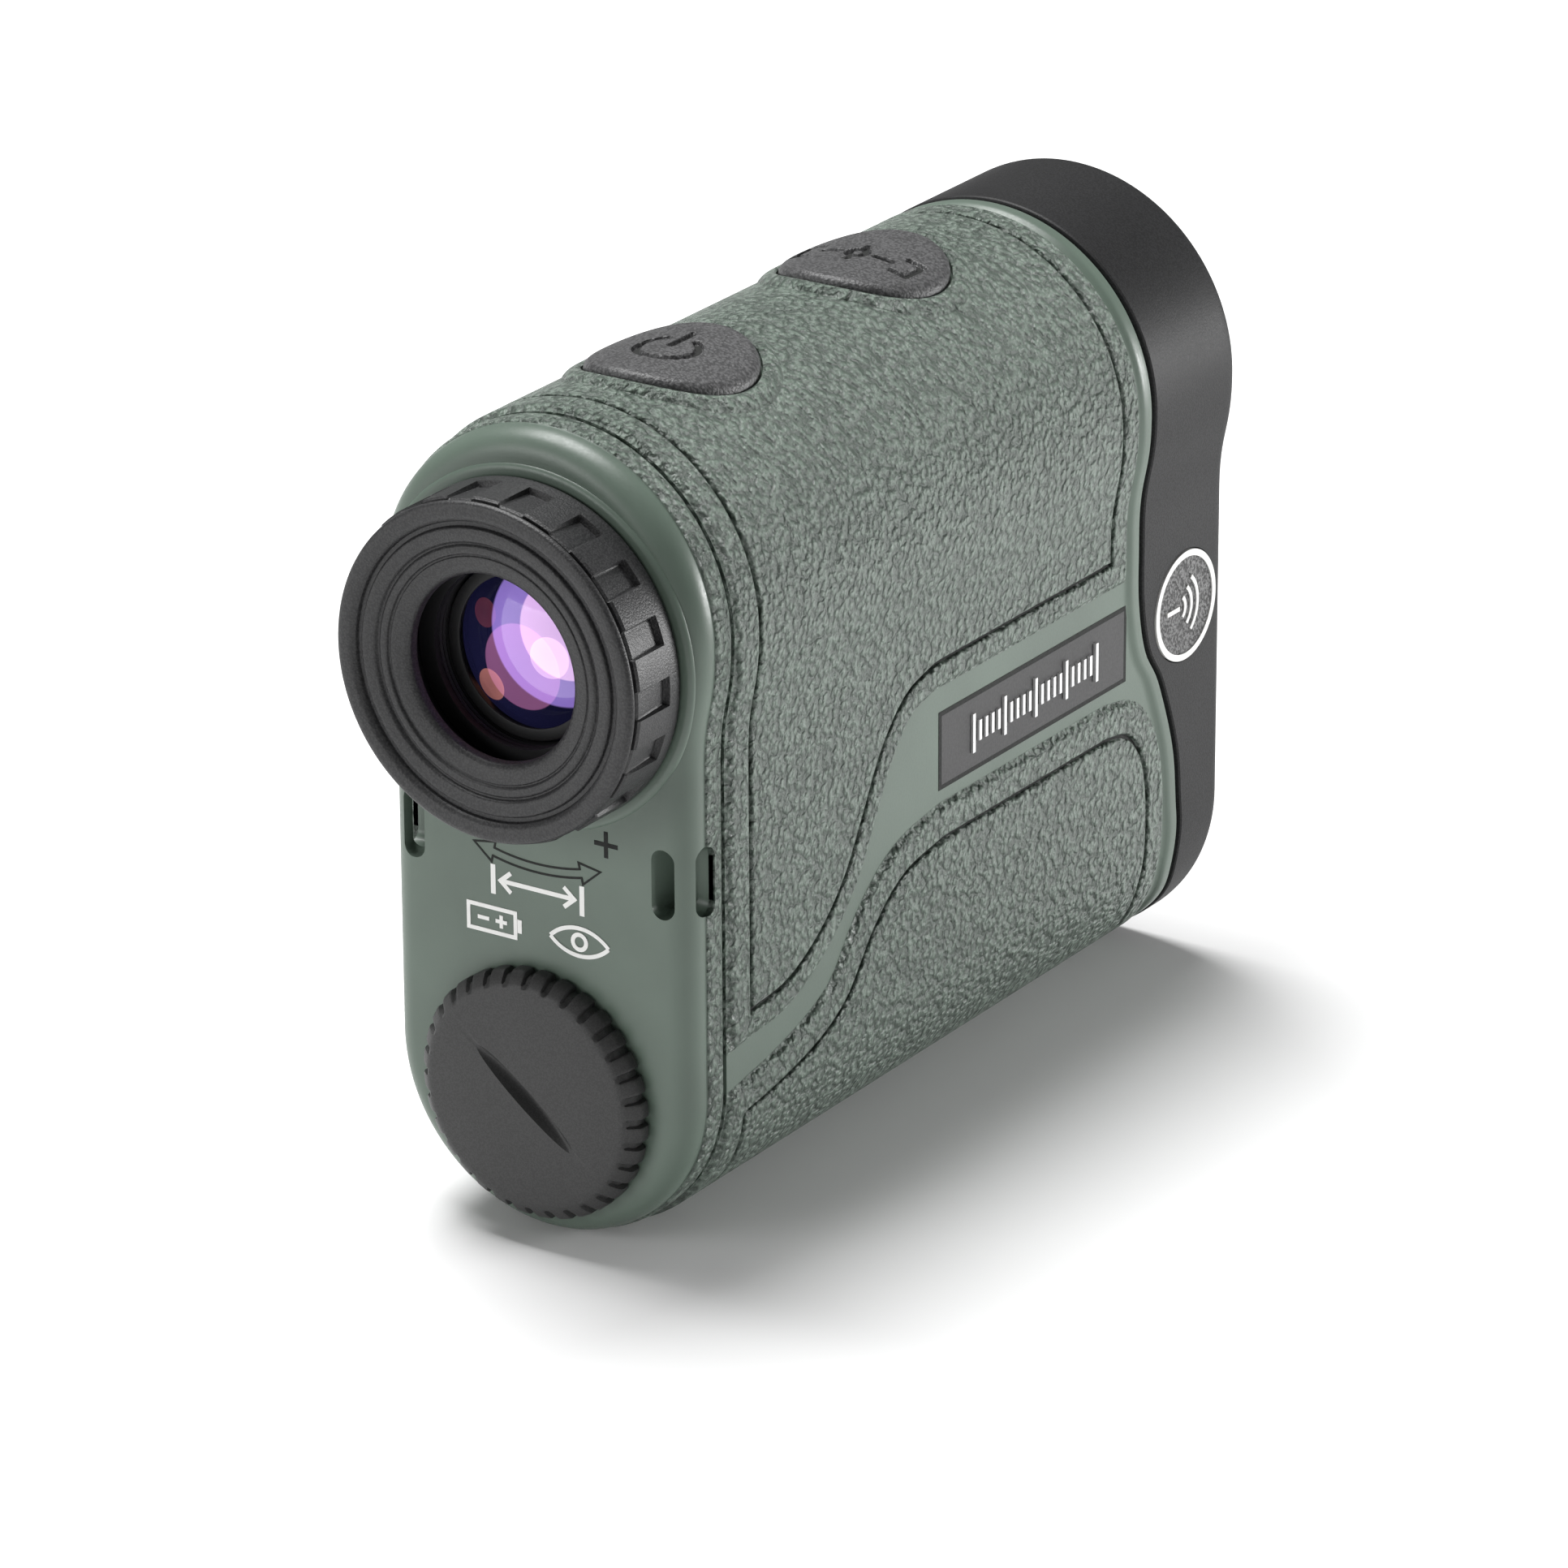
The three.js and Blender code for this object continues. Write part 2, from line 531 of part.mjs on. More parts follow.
// ---------------------------------------------------------------- buttons
const STEM_LOW_Z = 72.8;
function button(y) {
  const top = skin(BUTTON_TOP, BUTTON_UNDER, y - 10, y + 10);
  const cap = top.intersect(post(BUTTON_RADIUS, 0, y, LOBE_Z, 90, BUTTON_SEGMENTS));
  return join(cap, post(STEM_RADIUS, 0, y, STEM_LOW_Z, LOBE_Z + LOBE_RADIUS));
}
for (const [name, y] of Object.entries(BUTTON_Y)) add(`${name}_button`, button(y), BLACK_RUBBER);

// ---------------------------------------------------------------- battery and its cap
const CAP_RADIUS = 11.7;
const NOTCH_COUNT = 32;
const CAP_FACE = -2.5;
const COIN = { radius: 24.6, wide: 1.6, deep: 0.9, turn: -0.9 }; // slot for a coin's edge

add("battery_tube", turned([
  [8.2, 4.8], [9.4, 4.8], [9.4, 31], [0, 31], [0, 29.6], [8.2, 29.6],
], BATTERY_Z), INNER_PLASTIC);
add("battery_contact", rod(4.5, 28.5, 28.9, BATTERY_Z, SMALL_ROUND), BRASS);
const BATTERY_PROFILE = [
  [0, 1.2], [7.75, 1.2], [7.75, 27.3], [3.2, 27.3], [3.2, 28.2], [0, 28.2],
];
add("battery", turned(BATTERY_PROFILE, BATTERY_Z, 20), CELL_WRAP);

// Cap with scalloped rim, coin slot and a hollow threaded skirt, here without its thread.
function batteryCap() {
  const rim = new THREE.Shape();
  for (let i = 0; i < NOTCH_COUNT; i++) {
    const pitch = (2 * Math.PI) / NOTCH_COUNT;
    for (const [share, radius] of [[-0.3, CAP_RADIUS], [0.3, CAP_RADIUS], [0.5, CAP_RADIUS - 0.5]]) {
      const angle = (i + share) * pitch;
      const to = [radius * Math.cos(angle), BATTERY_Z + radius * Math.sin(angle)];
      if (i === 0 && share < 0) rim.moveTo(...to);
      else rim.lineTo(...to);
    }
  }
  const beyond = CAP_RADIUS + 0.2;
  const face = [[0, CAP_FACE], [10.5, CAP_FACE], [beyond, CAP_FACE + 1.1], [beyond, 0], [0, 0]];
  const flange = prismY(rim, -3, -0.15).intersect(turned(face, BATTERY_Z, 32));
  const skirt = rod(9.3, -1, 4.3, BATTERY_Z);
  const slot = new THREE.CylinderGeometry(COIN.radius, COIN.radius, COIN.wide, 80).rotateZ(Math.PI / 2);
  slot.translate(0, CAP_FACE - COIN.radius + COIN.deep, 0);
  slot.rotateY(COIN.turn).translate(0, 0, BATTERY_Z);
  return cut(join(flange, skirt), rod(8.1, -1.1, 5, BATTERY_Z), solid(slot));
}
add("battery_cap", batteryCap(), BLACK_RUBBER);

function torus(radius, tube, y, z) {
  const geometry = new THREE.TorusGeometry(radius, tube, 5, 24);
  return solid(geometry.rotateX(Math.PI / 2).translate(0, y, z));
}
add("cap_seal", torus(10.15, 0.4, 0.5, BATTERY_Z), BLACK_RUBBER);
add("cap_contact", rod(6.5, -0.95, -0.6, BATTERY_Z, SMALL_ROUND), BRASS);

// Conical spring that presses on the battery.
const SPRING = { turns: 2, wide: 5, narrow: 1.8, y0: -0.25, y1: 0.75, wire: 0.22 };
function capSpring() {
  const route = [];
  const stepsPerTurn = 8;
  const steps = SPRING.turns * stepsPerTurn;
  for (let i = 0; i <= steps; i++) {
    const share = i / steps;
    const angle = (i / stepsPerTurn) * 2 * Math.PI;
    const radius = SPRING.wide + (SPRING.narrow - SPRING.wide) * share;
    const y = SPRING.y0 + (SPRING.y1 - SPRING.y0) * share;
    route.push(new THREE.Vector3(radius * Math.cos(angle), y, radius * Math.sin(angle)));
  }
  const extrudePath = new THREE.CatmullRomCurve3(route);
  const wire = new THREE.Shape().absarc(0, 0, SPRING.wire, 0, 2 * Math.PI);
  const settings = { steps: 24, extrudePath, bevelEnabled: false, curveSegments: 3 };
  return solid(new THREE.ExtrudeGeometry(wire, settings).translate(0, 0, BATTERY_Z));
}
add("cap_spring", capSpring(), STEEL);

// ---------------------------------------------------------------- the part's own frame
model.position.y = -(BODY_LENGTH - EYECUP_PROUD) / 2;
const rangefinder = new THREE.Group();
rangefinder.add(model);
export default rangefinder;
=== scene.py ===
"""Looks for a handheld laser rangefinder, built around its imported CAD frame.

Lengths of the object are in millimetres until to_frame() turns them into the frame's metres; only
the lights are placed in metres. Here y is counted forward from the rear cover's face and z up from
the belly. On the housing a point is (y, s, h): s runs round the section from the top (0) down to the
belly (+-HALF), right side positive, and h is the height above the nominal surface."""

import json
import math

import bmesh
import bpy
import numpy as np
from mathutils import Matrix, Vector


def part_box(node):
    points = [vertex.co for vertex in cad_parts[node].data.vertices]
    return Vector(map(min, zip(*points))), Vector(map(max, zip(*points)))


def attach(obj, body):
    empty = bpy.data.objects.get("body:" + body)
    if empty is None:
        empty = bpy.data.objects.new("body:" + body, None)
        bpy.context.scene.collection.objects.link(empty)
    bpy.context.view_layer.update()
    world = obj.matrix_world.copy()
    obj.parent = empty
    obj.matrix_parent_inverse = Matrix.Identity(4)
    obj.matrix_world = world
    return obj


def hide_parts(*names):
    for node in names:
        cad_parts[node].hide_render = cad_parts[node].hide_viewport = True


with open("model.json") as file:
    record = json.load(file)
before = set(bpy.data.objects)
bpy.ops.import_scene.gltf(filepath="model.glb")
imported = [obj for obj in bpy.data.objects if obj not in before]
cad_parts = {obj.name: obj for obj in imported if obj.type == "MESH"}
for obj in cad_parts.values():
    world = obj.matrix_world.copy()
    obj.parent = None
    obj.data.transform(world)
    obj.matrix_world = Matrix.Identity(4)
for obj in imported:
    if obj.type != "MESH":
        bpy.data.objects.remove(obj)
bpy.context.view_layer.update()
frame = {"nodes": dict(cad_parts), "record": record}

# ---- sizes
MM = 0.001
REAR_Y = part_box("rear_cover")[0].y / MM  # of the rear face, in the frame
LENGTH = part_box("front_bezel")[1].y / MM - REAR_Y
LOBE_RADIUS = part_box("main_body")[1].x / MM
LOBE_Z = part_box("main_body")[1].z / MM - LOBE_RADIUS
WAIST_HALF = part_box("lower_armour")[1].x / MM
WAIST_TOP_Z = 47


def middle(node, axis):
    """The middle of a node's box along one axis of the frame, in millimetres."""
    return sum(getattr(corner, axis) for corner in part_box(node)) / 2 / MM


OPTIC_Z = middle("eye_lens", "z")
BATTERY_Z = middle("battery", "z")
LASER_Z = middle("laser_lens", "z")

COVER_DEPTH = 5.2
COVER_INSET = -0.6  # h of the rear cover's side
COVER_FILLET = 2.3
BAND_H = -0.5  # smooth band between the textured pads
SHELL_INNER_H = -3.0
SEAM = 0.12  # each side of the joint between the sleeve and the bezel
GROOVE = 0.42  # width of the groove round a pad
UPPER_REAR_Y, UPPER_FRONT_Y = 9.0, 68.4
BORDER = {"rear": 5.35, "front": 71.7, "upper": 2.9, "lower": 3.6}
BUTTON_RADIUS = 7.75
BUTTON_Y = {name: middle(f"{name}_button", "y") - REAR_Y for name in ("power", "mode")}
SIDES = {"right": 1, "left": -1}


def to_frame(points):
    """Points in millimetres as rows of the frame's metres."""
    return (np.asarray(points, float) + [0, REAR_Y, 0]) * MM


# ---- housing section
def bezier(a, b, c, d, count):
    t = np.linspace(0, 1, count)[:, None]
    a, b, c, d = (np.array(p, float) for p in (a, b, c, d))
    return (1 - t) ** 3 * a + 3 * (1 - t) ** 2 * t * b + 3 * (1 - t) * t**2 * c + t**3 * d


def section_half():
    """The right half of the section as (x, z), from the top to the belly."""
    lobe = np.linspace(math.pi / 2, 0, 90)
    belly = np.linspace(0, -math.pi / 2, 90)
    pull = (LOBE_Z - WAIST_TOP_Z) / 2
    swell = bezier(
        (LOBE_RADIUS, LOBE_Z), (LOBE_RADIUS, LOBE_Z - pull),
        (WAIST_HALF, WAIST_TOP_Z + pull), (WAIST_HALF, WAIST_TOP_Z), 50,
    )
    side = np.linspace(WAIST_TOP_Z, WAIST_HALF, 60)[1:]
    return np.vstack([
        np.stack([LOBE_RADIUS * np.cos(lobe), LOBE_Z + LOBE_RADIUS * np.sin(lobe)], 1),
        swell[1:],
        np.stack([np.full(side.shape, WAIST_HALF), side], 1),
        np.stack([WAIST_HALF * np.cos(belly), WAIST_HALF + WAIST_HALF * np.sin(belly)], 1)[1:],
    ])


HALF_LINE = section_half()
STEPS = np.hypot(*np.diff(HALF_LINE, axis=0).T)
S_LINE = np.concatenate([[0], np.cumsum(STEPS)])
HALF = S_LINE[-1]
TANGENT = np.gradient(HALF_LINE, S_LINE, axis=0)
TANGENT /= np.hypot(*TANGENT.T)[:, None]
NORMAL = np.stack([-TANGENT[:, 1], TANGENT[:, 0]], 1)
NORMAL[0], NORMAL[-1] = (0, 1), (0, -1)


def surface(y, s, h):
    """Points (x, y, z) of the housing at (y, s, h), as an array one dimension deeper."""
    y, s, h = np.broadcast_arrays(np.asarray(y, float), s, h)
    t = np.abs(s)
    nx, nz = (np.interp(t, S_LINE, NORMAL[:, i]) for i in (0, 1))
    x, z = (np.interp(t, S_LINE, HALF_LINE[:, i]) for i in (0, 1))
    return np.stack([np.sign(s) * (x + nx * h), y, z + nz * h], -1)


def s_at(z):
    """s on the right side at the height z."""
    return np.interp(-np.asarray(z, float), -HALF_LINE[:, 1], S_LINE)


def z_at(s):
    return np.interp(np.abs(s), S_LINE, HALF_LINE[:, 1])


def smooth_line(points, count=400):
    """A Catmull-Rom curve through the points, evenly spaced."""
    p = np.array(points, float)
    p = np.vstack([2 * p[0] - p[1], p, 2 * p[-1] - p[-2]])
    out = []
    for a, b, c, d in zip(p, p[1:], p[2:], p[3:]):
        t = np.linspace(0, 1, 30, endpoint=False)[:, None]
        out.append(
            0.5 * (2 * b + (c - a) * t + (2 * a - 5 * b + 4 * c - d) * t**2 + (3 * b - a - 3 * c + d) * t**3)
        )
    return even(np.vstack([*out, p[-2]]), count)


def even(line, count):
    """The polyline again, as count points evenly spaced along it."""
    gone = np.concatenate([[0], np.cumsum(np.hypot(*np.diff(line, axis=0).T))])
    at = np.linspace(0, gone[-1], count)
    return np.stack([np.interp(at, gone, line[:, i]) for i in (0, 1)], 1)


def moved(line, by):
    """The polyline moved sideways to its left."""
    along = np.gradient(line, axis=0)
    along /= np.hypot(*along.T)[:, None]
    return line + by * np.stack([-along[:, 1], along[:, 0]], 1)


def longer(line, by=8):
    """The polyline with both ends run on straight."""
    first, last = line[0] - line[1], line[-1] - line[-2]
    first, last = (v / np.hypot(*v) for v in (first, last))
    return np.vstack([line[0] + first * by, line, line[-1] + last * by])


# Side-view outlines as (y, z).
UPPER_EDGE = [
    (9, 22.9), (14.5, 23.6), (19.5, 26.2), (23.6, 30.1), (26.6, 35), (29.6, 40.1), (33.6, 44), (38.5, 45.5),
]
LOWER_EDGE = [(8.4, 12.8), (14.5, 14), (20.5, 15.9), (24.6, 18.4), (28.8, 23.3), (33.5, 26.6), (40, 27.9)]
LOWER_FRONT = [(68, 27.9), (71.8, 27), (74.2, 24.2), (75.1, 20), (75.2, 14), (76, 8.6), (78.4, 3), (80.2, 0)]
PARTING = [
    (85.6, 0), (84.2, 6), (82, 11.2), (81.2, 17), (80.4, 23.5), (77.7, 30.8), (75.2, 34.8), (74, 40),
    (73.9, 46),
]


def on_section(line):
    """A right-hand side-view line (y, z) as (y, s)."""
    return np.stack([line[:, 0], s_at(line[:, 1])], 1)


PARTING_LINE = smooth_line(PARTING)


def parting_y(z):
    return np.interp(z, PARTING_LINE[:, 1], PARTING_LINE[:, 0])


# ---- meshes
def outward(mesh, weld=0.0):
    """Turns every face outward, after joining points closer than weld metres."""
    made = bmesh.new()
    made.from_mesh(mesh)
    if weld:
        bmesh.ops.remove_doubles(made, verts=made.verts, dist=weld)
    bmesh.ops.recalc_face_normals(made, faces=made.faces)
    made.to_mesh(mesh)
    made.free()


def raw(name, verts, faces):
    mesh = bpy.data.meshes.new(name)
    mesh.from_pydata(to_frame(verts).tolist(), [], [list(map(int, f)) for f in faces])
    outward(mesh)
    obj = bpy.data.objects.new(name, mesh)
    bpy.context.scene.collection.objects.link(obj)
    return obj


def finish_piece(obj, material, body, replaces=(), sharp=32):
    """Outward faces, smooth shading, material, and the piece's place in the frame."""
    outward(obj.data, weld=1e-7)
    obj.data.polygons.foreach_set("use_smooth", [True] * len(obj.data.polygons))
    obj.data.set_sharp_from_angle(angle=math.radians(sharp))
    obj.data.materials.clear()
    obj.data.materials.append(material)
    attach(obj, body)
    if replaces:
        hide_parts(*replaces)


def boolean(obj, tool, operation="DIFFERENCE"):
    modifier = obj.modifiers.new("cut", "BOOLEAN")
    modifier.operation = operation
    modifier.solver = "EXACT"
    modifier.object = tool
    bpy.context.view_layer.update()
    made = bpy.data.meshes.new_from_object(obj.evaluated_get(bpy.context.evaluated_depsgraph_get()))
    obj.modifiers.clear()
    obj.data = made
    bpy.data.objects.remove(tool)


def grid_faces(rows, cols, wrap_rows=False, wrap_cols=False, start=0):
    faces = []
    for i in range(rows if wrap_rows else rows - 1):
        for j in range(cols if wrap_cols else cols - 1):
            a, b = i * cols + j, i * cols + (j + 1) % cols
            c, d = ((i + 1) % rows) * cols + (j + 1) % cols, ((i + 1) % rows) * cols + j
            faces.append((start + a, start + b, start + c, start + d))
    return faces


def slab(top, bottom):
    """Vertices and faces of the closed solid between two equal grids of points."""
    rows, cols = top.shape[:2]
    count = rows * cols
    verts = np.vstack([top.reshape(-1, 3), bottom.reshape(-1, 3)])
    faces = grid_faces(rows, cols) + [f[::-1] for f in grid_faces(rows, cols, start=count)]
    rim = [(0, j) for j in range(cols)] + [(i, cols - 1) for i in range(1, rows)]
    rim += [(rows - 1, j) for j in range(cols - 2, -1, -1)] + [(i, 0) for i in range(rows - 2, 0, -1)]
    loop = [i * cols + j for i, j in rim]
    faces += [(a, a + count, b + count, b) for a, b in zip(loop, loop[1:] + loop[:1])]
    return verts, faces


def tube(rings, name, caps=True):
    """Closed solid of rings of points, each ring closed; the ends are capped, or else meet."""
    rings = np.asarray(rings)
    rows, cols = rings.shape[:2]
    faces = grid_faces(rows, cols, wrap_rows=not caps, wrap_cols=True)
    if caps:
        faces += [tuple(range(cols)), tuple(range(rows * cols - 1, (rows - 1) * cols - 1, -1))]
    return raw(name, rings.reshape(-1, 3), faces)


def circle(radius, count):
    """The cosines and sines of a full turn, times the radius."""
    a = np.linspace(0, 2 * math.pi, count, endpoint=False)
    return radius * np.cos(a), radius * np.sin(a)


def lathe(name, profile, z, segments=96, change=None):
    """Turns a closed profile of (radius, y) about an axis along Y; change(angle, r, y) may reshape it."""
    angles = np.arange(segments) * 2 * math.pi / segments
    profile = np.array(profile, float)
    a, r = np.meshgrid(angles, profile[:, 0], indexing="ij")
    y = np.broadcast_to(profile[:, 1], a.shape).copy()
    if change:
        r, y = change(a, r, y)
    points = np.stack([r * np.cos(a), y, z + r * np.sin(a)], -1)
    return raw(name, points.reshape(-1, 3), grid_faces(segments, len(profile), True, True))


def turned(name, profile, z, material, body, node, sharp=32, segments=96, change=None):
    """A piece turned about an axis along Y, in place of one CAD node."""
    finish_piece(lathe(name, profile, z, segments, change), material, body, [node], sharp)


NEAR_AXIS = 0.0005  # the radius where a lathe's profile starts and ends
CORNER_STEPS = 3


def rounded_profile(points, radius=0.15):
    """The closed profile with each corner cut by a small arc."""
    p = np.array(points, float)
    out = []
    for before, here, after in zip(np.roll(p, 1, 0), p, np.roll(p, -1, 0)):
        if here[0] < 1e-6:
            out.append(here)
            continue
        to_a, to_b = before - here, after - here
        reach = min(radius, 0.45 * np.hypot(*to_a), 0.45 * np.hypot(*to_b))
        a, b = (here + v / np.hypot(*v) * reach for v in (to_a, to_b))
        for t in np.linspace(0, 1, CORNER_STEPS + 1):
            out.append((1 - t) ** 2 * a + 2 * t * (1 - t) * here + t**2 * b)
    return np.array(out)


# ---- height profiles
def to_line(points, line):
    """Distance from each point to a polyline, in one plane."""
    a, b = line[:-1], line[1:]
    ab = b - a
    length2 = np.maximum((ab**2).sum(1), 1e-12)
    flat = points.reshape(-1, 2)
    best = np.empty(len(flat))
    for i in range(0, len(flat), 2000):
        p = flat[i : i + 2000, None]
        t = np.clip(((p - a) * ab).sum(-1) / length2, 0, 1)[..., None]
        best[i : i + 2000] = np.sqrt((((a + ab * t) - p) ** 2).sum(-1)).min(1)
    return best.reshape(points.shape[:-1])


def to_loop(points, loop):
    """Distance from each point to a closed outline."""
    return to_line(points, np.vstack([loop, loop[:1]]))


def rounded(d, radius):
    """Height of a quarter-round edge at the distance d inside it."""
    left = np.clip(radius - d, 0, radius)
    return np.sqrt(radius**2 - left**2) - radius


def smoothstep(t):
    t = np.clip(t, 0, 1)
    return t * t * (3 - 2 * t)


RIM = np.array([0, 0.04, 0.11, 0.2, 0.32])  # distances of the first rows from an edge


def spread(low, high, count):
    """Positions from low to high, row by row, close together near both ends."""
    low, high = np.atleast_1d(low)[:, None].astype(float), np.atleast_1d(high)[:, None].astype(float)
    inner = np.linspace(0, 1, count)[None, 1:-1]
    start, end = low + RIM[-1], high - RIM[-1]
    return np.hstack([low + RIM, start + (end - start) * inner, high - RIM[::-1]])


EDGE_ROUND = 0.26
SKIRT_H = -1.15


# ---- materials
def nodes_of(name):
    """A new material, its tree, its shader and the object coordinates."""
    material = bpy.data.materials.new(name)
    material.use_nodes = True
    tree = material.node_tree
    where = tree.nodes.new("ShaderNodeTexCoord").outputs["Object"]
    return material, tree, tree.nodes["Principled BSDF"], where


def texture(tree, kind, where, **values):
    """A texture node fed by object coordinates or another vector."""
    node = tree.nodes.new(kind)
    for key, value in values.items():
        if key in node.inputs:
            node.inputs[key].default_value = value
        else:
            setattr(node, key.lower(), value)
    tree.links.new(where, node.inputs["Vector"])
    return node


def noise(tree, where, **values):
    return texture(tree, "ShaderNodeTexNoise", where, **values).outputs["Fac"]


def ramp(tree, source, stops):
    node = tree.nodes.new("ShaderNodeValToRGB")
    tree.links.new(source, node.inputs["Fac"])
    elements = node.color_ramp.elements
    while len(elements) < len(stops):
        elements.new(0.5)
    for element, (at, colour) in zip(elements, stops):
        element.position = at
        element.color = (*colour, 1)
    return node.outputs["Color"]


def grey_ramp(tree, source, low, high, start=0.3, end=0.7):
    """Grey that goes from low to high while the source goes from start to end."""
    return ramp(tree, source, [(start, (low,) * 3), (end, (high,) * 3)])


def blended(tree, kind, a, b):
    """Two colours added or multiplied."""
    node = tree.nodes.new("ShaderNodeMix")
    node.data_type = "RGBA"
    node.blend_type = kind
    node.inputs["Factor"].default_value = 1.0
    tree.links.new(a, node.inputs["A"])
    tree.links.new(b, node.inputs["B"])
    return node.outputs["Result"]


def math_node(tree, operation, a, b):
    node = tree.nodes.new("ShaderNodeMath")
    node.operation = operation
    for socket, value in zip(node.inputs, (a, b)):
        if isinstance(value, (int, float)):
            socket.default_value = value
        else:
            tree.links.new(value, socket)
    return node.outputs[0]


def bump(tree, height, strength, distance):
    node = tree.nodes.new("ShaderNodeBump")
    settings(node, Strength=strength, Distance=distance)
    tree.links.new(height, node.inputs["Height"])
    return node.outputs["Normal"]


def settings(node, **values):
    """Sets inputs of a node by name, with _ for a space."""
    for key, value in values.items():
        node.inputs[key.replace("_", " ")].default_value = value


def between(dark, light, t):
    return tuple(low + (high - low) * t for low, high in zip(dark, light))


def grained(name, dark, light, roughness, cell, depth, strength, painted_shade_contrast=0.5, fine=0.5, shine=0.45):
    """A grained surface: pebbles of about `cell` millimetres, with `fine` as the share of finer noise; the
    colour follows the height, darker in the pits as painted shade and lighter on the tops as painted light.
    """
    material, tree, shader, where = nodes_of(name)
    broad = noise(tree, where, Scale=90.0, Detail=3.0)
    warp = texture(tree, "ShaderNodeTexNoise", where, Scale=0.7 / (cell * MM), Detail=2.0)
    mix = tree.nodes.new("ShaderNodeMix")
    mix.data_type = "VECTOR"
    mix.inputs["Factor"].default_value = 0.0004 * cell
    tree.links.new(where, mix.inputs["A"])
    tree.links.new(warp.outputs["Color"], mix.inputs["B"])
    cells = texture(
        tree, "ShaderNodeTexVoronoi", mix.outputs["Result"], Scale=1 / (cell * MM), feature="SMOOTH_F1",
    )
    cells.inputs["Smoothness"].default_value = 0.5
    grit = noise(tree, where, Scale=1.9 / (cell * MM), Detail=4.0, Roughness=0.62)
    pebble = math_node(tree, "SUBTRACT", 1.0, math_node(tree, "MULTIPLY", cells.outputs["Distance"], 1.3))
    lumps = noise(tree, where, Scale=1.15 / (cell * MM), Detail=1.5)
    crisp = grey_ramp(tree, lumps, 0.0, 1.0, 0.40, 0.60)
    gritty = math_node(tree, "ADD", math_node(tree, "MULTIPLY", crisp, 0.5), grit)
    gritty = math_node(tree, "MULTIPLY", gritty, fine / 1.5 * 1.2)
    height = math_node(tree, "ADD", math_node(tree, "MULTIPLY", pebble, 1 - fine), gritty)
    # Painted shade and light: the ramp colours the grain by its height, so the pits are darker and the tops
    # lighter.
    reach = painted_shade_contrast / 4
    stops = [(0.5 - reach, dark), (0.5, between(dark, light, 0.55)), (0.5 + reach, light)]
    patchy = grey_ramp(tree, broad, 0.9, 1.05)
    shade = blended(tree, "MULTIPLY", ramp(tree, height, stops), patchy)
    tree.links.new(shade, shader.inputs["Base Color"])
    rough = grey_ramp(tree, grit, roughness - 0.08, roughness + 0.1)
    tree.links.new(rough, shader.inputs["Roughness"])
    tree.links.new(bump(tree, height, strength, depth * MM), shader.inputs["Normal"])
    settings(shader, Specular_IOR_Level=shine)
    return material


def satin(name, colour, roughness, grain=0.25, strength=0.25, metallic=0.0, coat=0.0, spread_by=0.12):
    """A smooth moulded or painted surface with faint orange peel and slight variation of tone."""
    material, tree, shader, where = nodes_of(name)
    broad = noise(tree, where, Scale=70.0, Detail=4.0)
    peel = noise(tree, where, Scale=1 / (grain * MM), Detail=3.0)
    dark = tuple(c * (1 - spread_by) for c in colour)
    light = tuple(min(1.0, c * (1 + spread_by)) for c in colour)
    tree.links.new(ramp(tree, broad, [(0.3, dark), (0.7, light)]), shader.inputs["Base Color"])
    rough = grey_ramp(tree, peel, roughness - 0.05, roughness + 0.07)
    tree.links.new(rough, shader.inputs["Roughness"])
    tree.links.new(bump(tree, peel, strength, 0.03 * MM), shader.inputs["Normal"])
    settings(shader, Metallic=metallic, Coat_Weight=coat)
    return material


def painted_reflection_lens(name, centre, discs, edge, glint=0.25):
    """Dark polished glass with soft coloured discs of painted reflection and a painted sheen at grazing
    angles, both glowing through emission; each disc is (dx, dz, radius, colour).
    """
    material, tree, shader, where = nodes_of(name)
    colour = None
    for dx, dz, radius, tint in discs:
        at = tree.nodes.new("ShaderNodeVectorMath")
        at.operation = "DISTANCE"
        flat = tree.nodes.new("ShaderNodeVectorMath")
        flat.operation = "MULTIPLY"
        flat.inputs[1].default_value = (1, 0, 1)
        tree.links.new(where, flat.inputs[0])
        tree.links.new(flat.outputs["Vector"], at.inputs[0])
        at.inputs[1].default_value = ((centre[0] + dx) * MM, 0, (centre[1] + dz) * MM)
        inside = ramp(
            tree, math_node(tree, "DIVIDE", at.outputs["Value"], radius * MM * 1.1),
            [(0.0, between((0, 0, 0), tint, 0.8)), (0.895, tint), (0.92, (0.0, 0.0, 0.0))],
        )
        colour = inside if colour is None else blended(tree, "ADD", colour, inside)
    # Painted sheen: the edge colour grows where the glass is seen at a grazing angle.
    facing = tree.nodes.new("ShaderNodeLayerWeight")
    facing.inputs["Blend"].default_value = 0.25
    sheen = ramp(tree, facing.outputs["Facing"], [(0.0, (0, 0, 0)), (1.0, edge)])
    # The painted reflections and sheen also glow, as emission at the strength glint.
    glow = blended(tree, "ADD", colour, sheen)
    tree.links.new(glow, shader.inputs["Base Color"])
    tree.links.new(glow, shader.inputs["Emission Color"])
    settings(shader, Emission_Strength=glint, Roughness=0.03, Coat_Weight=0.6, Coat_Roughness=0.02)
    return material


